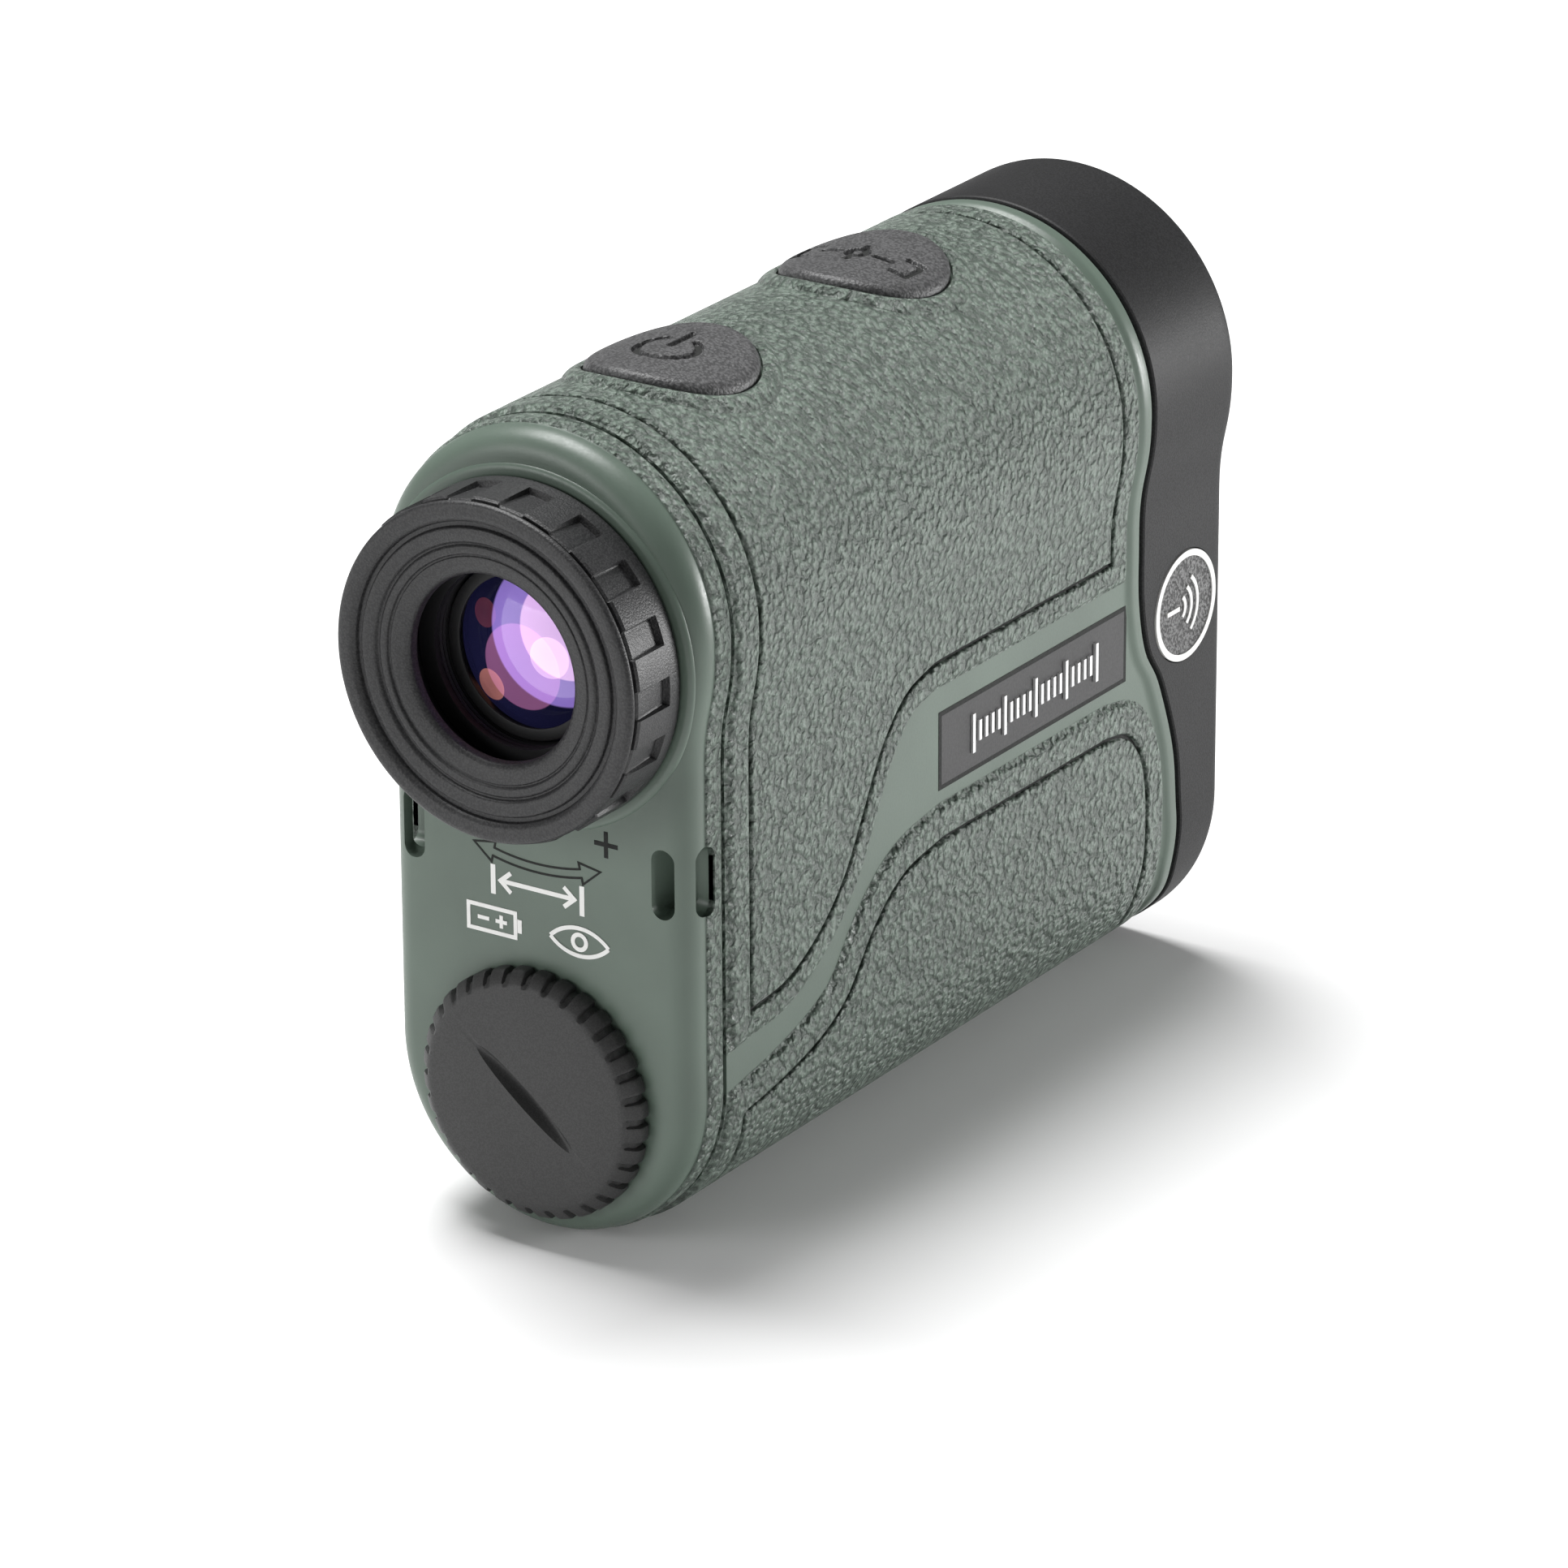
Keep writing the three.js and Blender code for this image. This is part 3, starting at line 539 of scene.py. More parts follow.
ARMOUR = grained(
    "armour_grain", (0.066, 0.089, 0.072), (0.148, 0.192, 0.158), 0.38, cell=0.72, depth=0.8, strength=1.0,
    painted_shade_contrast=0.42, fine=0.42, shine=0.75,
)
GREEN = satin("satin_green", (0.104, 0.140, 0.113), 0.38)
BEZEL = grained(
    "bezel_grain", (0.015, 0.015, 0.0155), (0.023, 0.023, 0.024), 0.5, cell=0.2, depth=0.03, strength=0.4,
    shine=0.2,
)
RUBBER = grained("rubber_grain", (0.014, 0.014, 0.015), (0.030, 0.030, 0.031), 0.45, 0.2, 0.05, 0.6)
BUTTON = grained("button_rubber", (0.042, 0.042, 0.043), (0.092, 0.092, 0.094), 0.45, 0.3, 0.09, 0.8)
CAP = grained("cap_grain", (0.024, 0.024, 0.024), (0.034, 0.034, 0.034), 0.5, 0.16, 0.02, 0.4)
# Painted shade: near-black strips laid in the grooves, round the plates and in the engraved signs.
SHADOW = satin("painted_shade_black", (0.006, 0.007, 0.006), 0.8)
PLATE = satin("plate_black", (0.020, 0.0195, 0.0205), 0.5)
SILVER = satin("silver_paint", (0.78, 0.78, 0.78), 0.32, metallic=0.55, spread_by=0.04)
WHITE = satin("white_print", (0.80, 0.80, 0.78), 0.45, spread_by=0.03)
STIPPLE = grained("stippled_field", (0.01, 0.01, 0.01), (0.16, 0.16, 0.16), 0.45, 0.32, 0.16, 1.0)
ALLOY = satin("black_anodised", (0.012, 0.012, 0.013), 0.45, grain=0.1, metallic=0.3)
STEEL = satin("screw_steel", (0.50, 0.51, 0.53), 0.28, grain=0.12, metallic=1.0)
BRASS = satin("contact_brass", (0.62, 0.44, 0.16), 0.3, grain=0.15, metallic=1.0)
MOULDED = satin("inner_moulding", (0.03, 0.03, 0.033), 0.55)
BOARD = satin("board_green", (0.012, 0.11, 0.045), 0.35, grain=0.5, spread_by=0.25, coat=0.3)
CHIP = satin("chip_black", (0.015, 0.015, 0.016), 0.5)
WRAP = satin("cell_wrap", (0.05, 0.12, 0.24), 0.35, grain=0.4, spread_by=0.2, coat=0.4)
GLASS = satin("clear_glass", (0.55, 0.62, 0.66), 0.04, grain=3.0, strength=0.02, spread_by=0.05)
# Painted reflections on the lenses: coloured discs and an edge sheen in the base colour, glowing by emission.
EYE_GLASS = painted_reflection_lens(
    "eye_painted_reflections", (0, OPTIC_Z),
    [
        (3.0, 2.15, 6.85, (0.20, 0.13, 0.42)), (4.0, 2.7, 4.7, (0.36, 0.22, 0.24)),
        (-0.7, -1.7, 4.0, (0.17, 0.06, 0.13)), (2.3, -0.2, 1.9, (0.22, 0.16, 0.14)),
        (-4.3, -4.2, 1.5, (0.28, 0.10, 0.07)), (-4.7, 2.4, 1.3, (0.06, 0.012, 0.012)),
    ],
    (0.03, 0.03, 0.12),
    glint=0.7,
)
FRONT_GLASS = painted_reflection_lens(
    "objective_painted_reflections", (0, OPTIC_Z),
    [(-3.0, 3.0, 5.5, (0.03, 0.10, 0.06)), (3.5, -2.5, 4.0, (0.10, 0.03, 0.12))],
    (0.02, 0.06, 0.05),
)
LASER_GLASS = painted_reflection_lens(
    "laser_painted_reflections", (0, LASER_Z),
    [(-2.0, 2.0, 4.0, (0.14, 0.015, 0.03)), (2.4, -1.6, 2.6, (0.05, 0.01, 0.06))],
    (0.06, 0.01, 0.02),
)


# ---- textured pads and their borders
STRAIGHT_FROM_Y = 39  # from here to the front the upper pad's lower edge is straight
LOWER_CORNER = (73.6, 25.2)  # (y, z) where the lower pad's top edge turns down into its front edge
LOWER_REAR_Y = 11.4  # the lower pad's rear edge at the belly
LOWER_REAR_LEAN = {"back": 3.0, "by_z": 12.8, "most": 1.6}  # how the edge runs back further up


def low_edge(offset, y0, y1, count):
    """The upper pad's lower edge on the right, moved outwards, from y0 to y1."""
    straight = [(y, UPPER_EDGE[-1][1]) for y in np.linspace(STRAIGHT_FROM_Y, UPPER_FRONT_Y, 60)]
    line = np.vstack([smooth_line(UPPER_EDGE), straight])
    line = longer(moved(on_section(line), offset))
    line[:, 0] = np.maximum.accumulate(line[:, 0])
    fine = even(line, 1500)
    fine = fine[(fine[:, 0] >= y0) & (fine[:, 0] <= y1)]
    ends = [(y, np.interp(y, line[:, 0], line[:, 1])) for y in (y0, y1)]
    return even(np.vstack([ends[0], fine, ends[1]]), count)


def mirrored(line):
    return (line * [1, -1])[::-1]


def upper_loop(offset, rear, front):
    """The outline of the upper pad as a loop of (y, s)."""
    right = low_edge(offset, rear, front, 150)
    left = mirrored(right)
    over_front = np.linspace(right[-1], left[0], 110)
    over_rear = np.linspace(left[-1], right[0], 110)
    return np.vstack([right[:-1], over_front[:-1], left[:-1], over_rear[:-1]])


def lower_right():
    line = np.vstack([smooth_line(LOWER_EDGE, 160), smooth_line(LOWER_FRONT, 160)])
    line = even(on_section(line), 360)
    return np.stack([line[:, 0], HALF - line[:, 1]], 1)  # (y, distance from the belly line)


def lower_long_edge(offset, rear_y, count):
    """Top edge, front edge and top edge again of the lower pad, right to left, as (y, q)."""
    right = lower_right()
    line = np.vstack([right, (right * [1, -1])[-2::-1]])
    line = longer(moved(line, offset), 6)
    fine = even(line, 2400)
    keep = fine[:, 0] >= rear_y(fine[:, 1])
    return even(fine[keep], count)


def rear_line(offset):
    """y of the lower pad's rear edge at the distance q from the belly line."""
    def y_of(q):
        share = np.clip(z_at(HALF - np.abs(q)) / LOWER_REAR_LEAN["by_z"], 0, LOWER_REAR_LEAN["most"])
        return LOWER_REAR_Y - LOWER_REAR_LEAN["back"] * share - offset
    return y_of


def lower_loop(offset, rear_y):
    """The outline of the lower pad as a loop of (y, q)."""
    long_edge = lower_long_edge(offset, rear_y, 420)
    q = np.linspace(long_edge[-1][1], long_edge[0][1], 90)
    back = np.stack([rear_y(q), q], 1)
    return np.vstack([long_edge[:-1], back[:-1]])


def belly_surface(y, q, h):
    """As surface(), with q counted from the belly line instead of s from the top."""
    return surface(y, np.sign(q) * (HALF - np.abs(q)) + (np.abs(q) < 1e-9) * HALF, h)


STRIP_SHARES = np.concatenate([
    [0, 0.015, 0.04, 0.08, 0.13], np.linspace(0.18, 0.7, 6), [0.76, 0.82, 0.87, 0.92, 0.96, 0.985, 1.0],
])
STRIP_FLOOR_H = BAND_H - 0.3


def border(name, inner, outer, place):
    """The textured strip between two loops round a pad: round at the groove, falling to the band."""
    t = STRIP_SHARES[:, None, None]
    plan = inner[None] * (1 - t) + outer[None] * t
    falling = 1 - smoothstep(to_loop(plan, outer) / 0.75)
    heights = rounded(to_loop(plan, inner), EDGE_ROUND) + BAND_H * 0.96 * falling
    top = place(plan[..., 0], plan[..., 1], heights)
    bottom = place(plan[..., 0], plan[..., 1], STRIP_FLOOR_H)
    obj = tube(np.vstack([top, bottom[::-1]]), name, caps=False)
    finish_piece(obj, ARMOUR, "body")


def groove_shade_strip(name, inner, outer, place):
    """A dark strip of painted shade at the bottom of the groove round a pad."""
    plan = np.stack([inner, outer])
    top = place(plan[..., 0], plan[..., 1], BAND_H + 0.04)
    bottom = place(plan[..., 0], plan[..., 1], BAND_H - 0.2)
    obj = tube(np.vstack([top, bottom[::-1]]), name, caps=False)
    finish_piece(obj, SHADOW, "body")


def upper_pad():
    outline = upper_loop(0, UPPER_REAR_Y, UPPER_FRONT_Y)
    y = spread(UPPER_REAR_Y, UPPER_FRONT_Y, 86)[0]
    edge = low_edge(0, UPPER_REAR_Y, UPPER_FRONT_Y, 600)
    low = np.interp(y, edge[:, 0], edge[:, 1])
    s = spread(-low, low, 150)
    yy = np.broadcast_to(y[:, None], s.shape)
    d = to_loop(np.stack([yy, s], -1), outline)
    top = surface(yy, s, rounded(d, EDGE_ROUND))
    bottom = surface(yy, s, SKIRT_H)
    obj = raw("armour_upper_skin", *slab(top, bottom))
    across, along = circle(BUTTON_RADIUS + 0.22, 120)
    below, above = 60, 90  # z of the cutter's ends
    for at in BUTTON_Y.values():
        ring = np.stack([across, at + along, 0 * across], 1)
        boolean(obj, tube([ring + [0, 0, below], ring + [0, 0, above]], "cutter"))
    finish_piece(obj, ARMOUR, "body", ["upper_armour"])


def lower_pad():
    loop = lower_loop(0, rear_line(0))
    long_edge = lower_long_edge(0, rear_line(0), 841)
    corner_at = (LOWER_CORNER[0], HALF - s_at(LOWER_CORNER[1]))
    corner = int(np.argmin(np.hypot(*(long_edge - corner_at).T)))
    mirror_corner = len(long_edge) - 1 - corner
    top_right, front = long_edge[: corner + 1], long_edge[corner : mirror_corner + 1]
    long, wide = 66.0, 86.0  # rough size of the pad, for the spacing of the rows
    u = spread(0, long, 96)[0] / long
    v = spread(0, wide, 110)[0] / wide
    right = at_share(top_right, u)
    left = right * [1, -1]
    ahead = at_share(front, v)
    q = np.linspace(right[0][1], left[0][1], 400)
    behind = at_share(np.stack([rear_line(0)(q), q], 1), v)
    uu, vv = u[:, None, None], v[None, :, None]
    plan = (1 - vv) * right[:, None] + vv * left[:, None] + (1 - uu) * behind[None] + uu * ahead[None]
    plan -= (1 - uu) * ((1 - vv) * right[0] + vv * left[0]) + uu * ((1 - vv) * right[-1] + vv * left[-1])
    d = to_loop(plan, loop)
    top = belly_surface(plan[..., 0], plan[..., 1], rounded(d, EDGE_ROUND))
    bottom = belly_surface(plan[..., 0], plan[..., 1], SKIRT_H)
    obj = raw("armour_lower_skin", *slab(top, bottom))
    finish_piece(obj, ARMOUR, "body", ["lower_armour"])


def at_share(line, share):
    """Points of the polyline at shares of its length."""
    gone = np.concatenate([[0], np.cumsum(np.hypot(*np.diff(line, axis=0).T))])
    return np.stack([np.interp(share * gone[-1], gone, line[:, i]) for i in (0, 1)], 1)


TUCK = 0.15  # how far the groove's strip of painted shade runs under its sides


def borders():
    inner = upper_loop(GROOVE, UPPER_REAR_Y - GROOVE, UPPER_FRONT_Y + GROOVE)
    outer = upper_loop(BORDER["upper"], BORDER["rear"], BORDER["front"])
    border("border_upper", inner, outer, surface)
    pad = upper_loop(-TUCK, UPPER_REAR_Y + TUCK, UPPER_FRONT_Y - TUCK)
    wide = upper_loop(GROOVE + TUCK, UPPER_REAR_Y - GROOVE - TUCK, UPPER_FRONT_Y + GROOVE + TUCK)
    groove_shade_strip("groove_shade_upper", pad, wide, surface)
    inner = lower_loop(GROOVE, rear_line(GROOVE))
    outer = lower_loop(BORDER["lower"], lambda q: np.full(np.shape(q), BORDER["rear"]))
    border("border_lower", inner, outer, belly_surface)
    pad, wide = (lower_loop(offset, rear_line(offset)) for offset in (-TUCK, GROOVE + TUCK))
    groove_shade_strip("groove_shade_lower", pad, wide, belly_surface)


# ---- shells
AROUND = np.linspace(-HALF, HALF, 260, endpoint=False)


def sleeve():
    """Smooth sleeve under the pads, its front edge on the wavy joint with the bezel."""
    start, end = BORDER["rear"] + 0.05, parting_y(z_at(AROUND)) - SEAM
    rings = []
    for share in [*np.linspace(0, 0.9, 30), *np.linspace(0.91, 1, 24)]:
        y = start + (end - start) * share
        lift = 0.38 * smoothstep((y - end + 2.3) / 1.0) - 0.3 * (1 - smoothstep((end - y) / 0.35))
        rings.append(surface(y, AROUND, BAND_H + lift))
    rings += [surface(y, AROUND, SHELL_INNER_H) for y in (end, start)]
    finish_piece(tube(rings, "sleeve", caps=False), GREEN, "body", ["main_body"])


# A strap slot: its middle and size, its depth from behind, and where it opens to the side.
STRAP = {
    "x": 13.15, "z": 36.85, "wide": 2.3, "long": 6.5, "deep": 3.8, "side_y": 2.6, "side_span": (12.2, 19.0),
}
STRAP_BLOCK = {"x": (10.8, 15.0), "y": (1.6, 5.0), "z": (32.2, 41.6)}  # the solid round the slot
BEHIND_Y = -1  # where the cutters start, behind the rear face


def slot_cutter(centre, axis, depth):
    """A strap slot as a cutter: long along z, running along Y or X from depth[0] to depth[1]."""
    r = STRAP["wide"] / 2
    a = np.linspace(0, math.pi, 17)
    up = np.stack([r * np.cos(a), STRAP["long"] / 2 - r + r * np.sin(a)], 1)
    ring = np.vstack([up, -up])
    rings = []
    for d in depth:
        side, z = ring[:, 0] + centre[0], ring[:, 1] + centre[1]
        flat = np.full(len(ring), d)
        rings.append(np.stack([side, flat, z] if axis == "y" else [flat, side, z], 1))
    return tube(rings, "cutter")


def block(x0, x1, y0, y1, z0, z1):
    corners = ((x0, z0), (x1, z0), (x1, z1), (x0, z1))
    return tube(np.array([[(x, y, z) for x, z in corners] for y in (y0, y1)], float), "cutter")


def round_cutter(profile, z):
    """A solid of revolution along Y through the given (radius, y), with flat ends."""
    rings = []
    for radius, y in profile:
        across, up = circle(radius, 128)
        rings.append(np.stack([across, 0 * across + y, z + up], 1))
    return tube(rings, "cutter")


def strap_side_cutter(side):
    return slot_cutter((STRAP["side_y"], STRAP["z"]), "x", sorted(side * x for x in STRAP["side_span"]))


COVER_WALL = {"y": 2.6, "h": -3.6}  # inner face of the cover's end wall and of its side
COVER_STEP = 0.12  # from the side down to the rounded rear edge
BAND_PROFILE = [
    (2.62, -1.1), (2.62, -0.75), (2.72, -0.58), (2.9, -0.47), (3.2, -0.43), (4.3, -0.43), (4.75, -0.47),
    (5.0, -0.6), (5.08, -0.8), (5.08, -1.1),
]


def rear_cover():
    """The cover with its strap slots and openings, the band round it and the collar of the eyepiece."""
    low = COVER_INSET - COVER_STEP
    line = [
        (COVER_WALL["y"], COVER_WALL["h"]), (COVER_DEPTH, COVER_WALL["h"]), (COVER_DEPTH, COVER_INSET - 0.25),
        (COVER_DEPTH - 0.2, COVER_INSET), (COVER_FILLET + 0.45, COVER_INSET), (COVER_FILLET + 0.3, low),
        (COVER_FILLET + 0.15, low),
    ]
    for a in np.linspace(0, math.pi / 2, 9):
        line.append((COVER_FILLET * (1 - math.sin(a)), low - COVER_FILLET * (1 - math.cos(a))))
    obj = tube([surface(y, AROUND, h) for y, h in line], "cover_shell")
    for side in SIDES.values():
        across = sorted(side * x for x in STRAP_BLOCK["x"])
        boolean(obj, block(*across, *STRAP_BLOCK["y"], *STRAP_BLOCK["z"]), "UNION")
        boolean(obj, slot_cutter((side * STRAP["x"], STRAP["z"]), "y", (BEHIND_Y, STRAP["deep"])))
        boolean(obj, strap_side_cutter(side))
    boolean(obj, round_cutter([(12.0, BEHIND_Y), (12.0, 8)], OPTIC_Z))
    boolean(obj, round_cutter([(10.8, BEHIND_Y), (10.8, 1.1), (9.5, 1.1), (9.5, 8)], BATTERY_Z))
    finish_piece(obj, GREEN, "body", ["rear_cover"], sharp=28)
    obj = tube([surface(y, AROUND, h) for y, h in BAND_PROFILE], "cover_band", caps=False)
    for side in SIDES.values():
        boolean(obj, strap_side_cutter(side))
    finish_piece(obj, ARMOUR, "body")
    collar = [(14.9, 0.3), (16.7, 0.3), (16.55, -0.12), (16.2, -0.3), (15.5, -0.3), (15.0, -0.1)]
    obj = lathe("eyepiece_collar", rounded_profile(collar, 0.2), OPTIC_Z, segments=160)
    finish_piece(obj, GREEN, "body")


BEZEL_FILLET = 1.1  # round the front face
BEZEL_LEAD = 0.25  # from the joint to the full height of the side
BEZEL_WALL_Y = 85.2  # inner face of the front wall


def bezel():
    start = parting_y(z_at(AROUND)) + SEAM
    rings = [surface(BEZEL_WALL_Y, AROUND, SHELL_INNER_H)]
    for ahead, h in ((0, SHELL_INNER_H), (0, -0.3), (0.08, -0.1), (BEZEL_LEAD, 0)):
        rings.append(surface(start + ahead, AROUND, h))
    for share in np.linspace(0.05, 1, 24):
        y = start + BEZEL_LEAD + (LENGTH - BEZEL_FILLET - start - BEZEL_LEAD) * share
        rings.append(surface(y, AROUND, 0))
    for a in np.linspace(0, math.pi / 2, 7)[1:]:
        y = LENGTH - BEZEL_FILLET + BEZEL_FILLET * math.sin(a)
        rings.append(surface(y, AROUND, -BEZEL_FILLET * (1 - math.cos(a))))
    obj = tube(rings, "bezel_shell")
    boolean(obj, round_cutter([(10.8, 84), (10.8, 85.4), (12.3, 88.3), (12.6, 89)], OPTIC_Z))
    boolean(obj, round_cutter([(8.2, 84), (8.2, 86.6), (9.3, 88.3), (9.6, 89)], LASER_Z))
    for side in SIDES.values():
        boolean(obj, side_disc(side, BADGE_RADIUS + 0.12, WAIST_HALF - 0.5, 18))
    finish_piece(obj, BEZEL, "body", ["front_bezel"], sharp=28)


# ---- plates and badges
BADGE_RADIUS = 5.4
BADGE_Y, BADGE_Z = 81.7, 37.2


def side_disc(side, radius, x0, x1):
    along, up = circle(radius, 96)
    ring = np.stack([0 * along, BADGE_Y + along, BADGE_Z + up], 1)
    return tube([ring + [side * x, 0, 0] for x in (x0, x1)], "cutter")


def stroke(points, width, closed=False):
    """A line of points drawn with a width: (left edge, right edge, closed)."""
    p = np.array(points, float)
    before, after = (np.roll(p, 1, 0), np.roll(p, -1, 0)) if closed else (p.copy(), p.copy())
    if not closed:
        before[1:], after[:-1] = p[:-1], p[1:]
        before[0], after[-1] = 2 * p[0] - p[1], 2 * p[-1] - p[-2]
    a, b = p - before, after - p
    a, b = (v / np.maximum(np.hypot(*v.T)[:, None], 1e-9) for v in (a, b))
    normal = np.stack([-(a + b)[:, 1], (a + b)[:, 0]], 1)
    normal /= np.hypot(*normal.T)[:, None]
    square = np.maximum(np.abs(normal[:, 0] * -b[:, 1] + normal[:, 1] * b[:, 0]), 0.5)[:, None]
    if not closed:
        p[0], p[-1] = p[0] - b[0] * width * 0.3, p[-1] + a[-1] * width * 0.3
    return p + normal / square * width / 2, p - normal / square * width / 2, closed


def arc(cx, cz, radius, start, end, count=28):
    a = np.radians(np.linspace(start, end, count))
    return np.stack([cx + radius * np.cos(a), cz + radius * np.sin(a)], 1)


STROKE_STEP = 0.004  # each stroke's top is this much higher, so that no two tops share a plane


def relief(name, strokes, place, low, high, material, body="body"):
    """Thin raised marks: each stroke becomes a prism from the height low to high over its place."""
    verts, faces = np.empty((0, 3)), []
    for index, (left, right, closed) in enumerate(strokes):
        top = high + STROKE_STEP * index
        rows = [(left, low), (left, top), (right, top), (right, low)]
        rings = np.array([[place(u, v, height) for u, v in line] for line, height in rows])
        count, start = len(left), len(verts)
        verts = np.vstack([verts, rings.reshape(-1, 3)])
        faces += grid_faces(4, count, True, closed, start)
        if not closed:
            first = start + count * np.arange(4)
            faces += [first, first[::-1] + count - 1]
    finish_piece(raw(name, verts, faces), material, body)


def on_side(side):
    """Places (y, z) on one side of the housing, at the distance x from its middle plane."""
    def place(y, z, x):
        return (side * x, y, z)
    return place


PLATE_THICK = 0.9
SCALE = {"pitch": 1.05, "each_way": 10, "long": 1.75, "short": 0.85, "line": 0.42}  # half lengths


def nameplates():
    low, high = (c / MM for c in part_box("nameplate_right"))
    y0, y1, z0, z1 = low.y - REAR_Y, high.y - REAR_Y, low.z, high.z
    mid_y, mid_z = (y0 + y1) / 2, (z0 + z1) / 2
    for name, side in SIDES.items():
        made = bmesh.new()
        bmesh.ops.create_cube(made, size=1)
        size = Matrix.Diagonal((PLATE_THICK, y1 - y0, z1 - z0, 1))
        middle_at = Matrix.Translation((side * (high.x - PLATE_THICK / 2), mid_y, mid_z))
        bmesh.ops.transform(made, matrix=middle_at @ size, verts=made.verts)
        bmesh.ops.bevel(made, geom=made.edges[:], offset=0.14, segments=3, affect="EDGES")
        verts = [v.co[:] for v in made.verts]
        faces = [[v.index for v in f.verts] for f in made.faces]
        made.free()
        plate = raw(f"plate_{name}", verts, faces)
        finish_piece(plate, PLATE, "body", [f"nameplate_{name}"])
        edge = [(y0, z0), (y1, z0), (y1, z1), (y0, z1)]
        place = on_side(side)
        # Painted shade: a dark strip round the plate's edge stands for the shade in the gap.
        gap = [stroke(edge, 0.62, closed=True)]
        relief(f"plate_gap_shade_{name}", gap, place, high.x - 0.4, high.x - 0.01, SHADOW)
        ticks = []
        for i in range(-SCALE["each_way"], SCALE["each_way"] + 1):
            y = mid_y + i * SCALE["pitch"]
            half = SCALE["short" if i % 5 else "long"]
            ticks.append(stroke([(y, mid_z - half), (y, mid_z + half)], SCALE["line"]))
        relief(f"scale_marks_{name}", ticks, place, high.x - 0.05, high.x + 0.22, SILVER)


def badges():
    """Round badges, each with a rim and a beam that spreads forward from its source."""
    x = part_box("badge_right")[1].x / MM
    for name, side in SIDES.items():
        field = side_disc(side, BADGE_RADIUS - 0.1, x - 0.6, x - 0.1)
        field.name = f"badge_field_{name}"
        finish_piece(field, STIPPLE, "body", [f"badge_{name}"])
        rim = arc(BADGE_Y, BADGE_Z, BADGE_RADIUS - 0.34, 0, 356, 90)
        source, ahead = BADGE_Y - side * 1.3, 90 - side * 90
        waves = [arc(source, BADGE_Z, radius, ahead - 48, ahead + 48, 15) for radius in (1.2, 2.3, 3.4)]
        marks = [stroke(wave, 0.4) for wave in waves]
        marks.append(stroke([(BADGE_Y - side * 3.2, BADGE_Z), (source, BADGE_Z)], 0.45))
        for kind, lines in (("ring", [stroke(rim, 0.62, closed=True)]), ("mark", marks)):
            relief(f"badge_{kind}_{name}", lines, on_side(side), x - 0.25, x + 0.02, WHITE)


# ---- eyepiece
POCKET_COUNT = 18
POCKET_WIDE = 2.5


def diopter_ring():
    profile = [
        (11.9, -0.4), (15.35, -0.4), (15.55, -0.55), *[(15.62, y) for y in np.linspace(-0.75, -6.5, 60)],
        (15.45, -6.72), (12.45, -6.72), (12.45, -4.5), (11.9, -4.5),
    ]

    def pockets(a, r, y):
        pitch = 2 * math.pi / POCKET_COUNT
        off = np.abs((a + pitch / 2) % pitch - pitch / 2) * 15.3
        inside = smoothstep((POCKET_WIDE / 2 - off) / 0.1 + 0.5)
        floor = 0.26 + 0.32 * np.clip((y + 6.5) / 4.2, 0, 1)
        end = smoothstep((-2.2 - y) / 0.12 + 0.5)
        return r - np.where(r > 15.2, floor * inside * end, 0), y

    obj = lathe("grip_ring", profile, OPTIC_Z, segments=POCKET_COUNT * 48, change=pockets)
    finish_piece(obj, RUBBER, "diopter", ["diopter_ring"])


def eyecup():
    rim = [
        (15.3, -6.95), (15.4, -7.2), (15.25, -7.52), (14.9, -7.66), (14.5, -7.67), (14.0, -7.59),
        (13.62, -7.3), (13.45, -6.95), (13.25, -6.82), (13.08, -6.98), (12.95, -7.22), (12.7, -7.3),
        (12.2, -7.24), (11.75, -7.12), (11.55, -6.86), (11.4, -6.78), (11.25, -6.92), (11.05, -7.0),
        (10.6, -6.94), (10.45, -6.7), (10.3, -6.66), (10.15, -6.76), (9.6, -6.66), (8.95, -6.45),
        (8.6, -6.15), (8.5, -5.8),
    ]
    rim = smooth_line(rim, 130)
    profile = [*rim, (8.5, -5.3), (10.6, -4.75), (12.25, -4.75), (12.25, -6.95)]
    turned("eyecup_rubber", profile, OPTIC_Z, RUBBER, "diopter", "eyecup", segments=160)


def biconvex(radius, y0, y1, bulge):
    t = np.linspace(0, 1, 10)
    back = np.stack([radius * t, y0 - bulge * (1 - t * t)], 1)
    front = np.stack([radius * t[::-1], y1 + bulge * (1 - t[::-1] ** 2)], 1)
    made = np.vstack([back, front])
    made[:, 0] = np.maximum(made[:, 0], NEAR_AXIS)
    return made


def ribbed(from_y, to_y, radius, pitch=0.8, depth=0.18):
    """Anti-reflection ribs on a bore: points to insert in a profile, from from_y to to_y."""
    ys = np.arange(min(from_y, to_y) + pitch / 2, max(from_y, to_y) - pitch / 2, pitch / 2)
    if to_y < from_y:
        ys = ys[::-1]
    return [(radius + (depth if i % 2 else 0), y) for i, y in enumerate(ys)]


def alloy(name, profile, z, node, body="body"):
    turned(name, profile, z, ALLOY, body, node, sharp=20)


def glass(name, profile, z, material, node, body="body"):
    turned(name, profile, z, material, body, node)


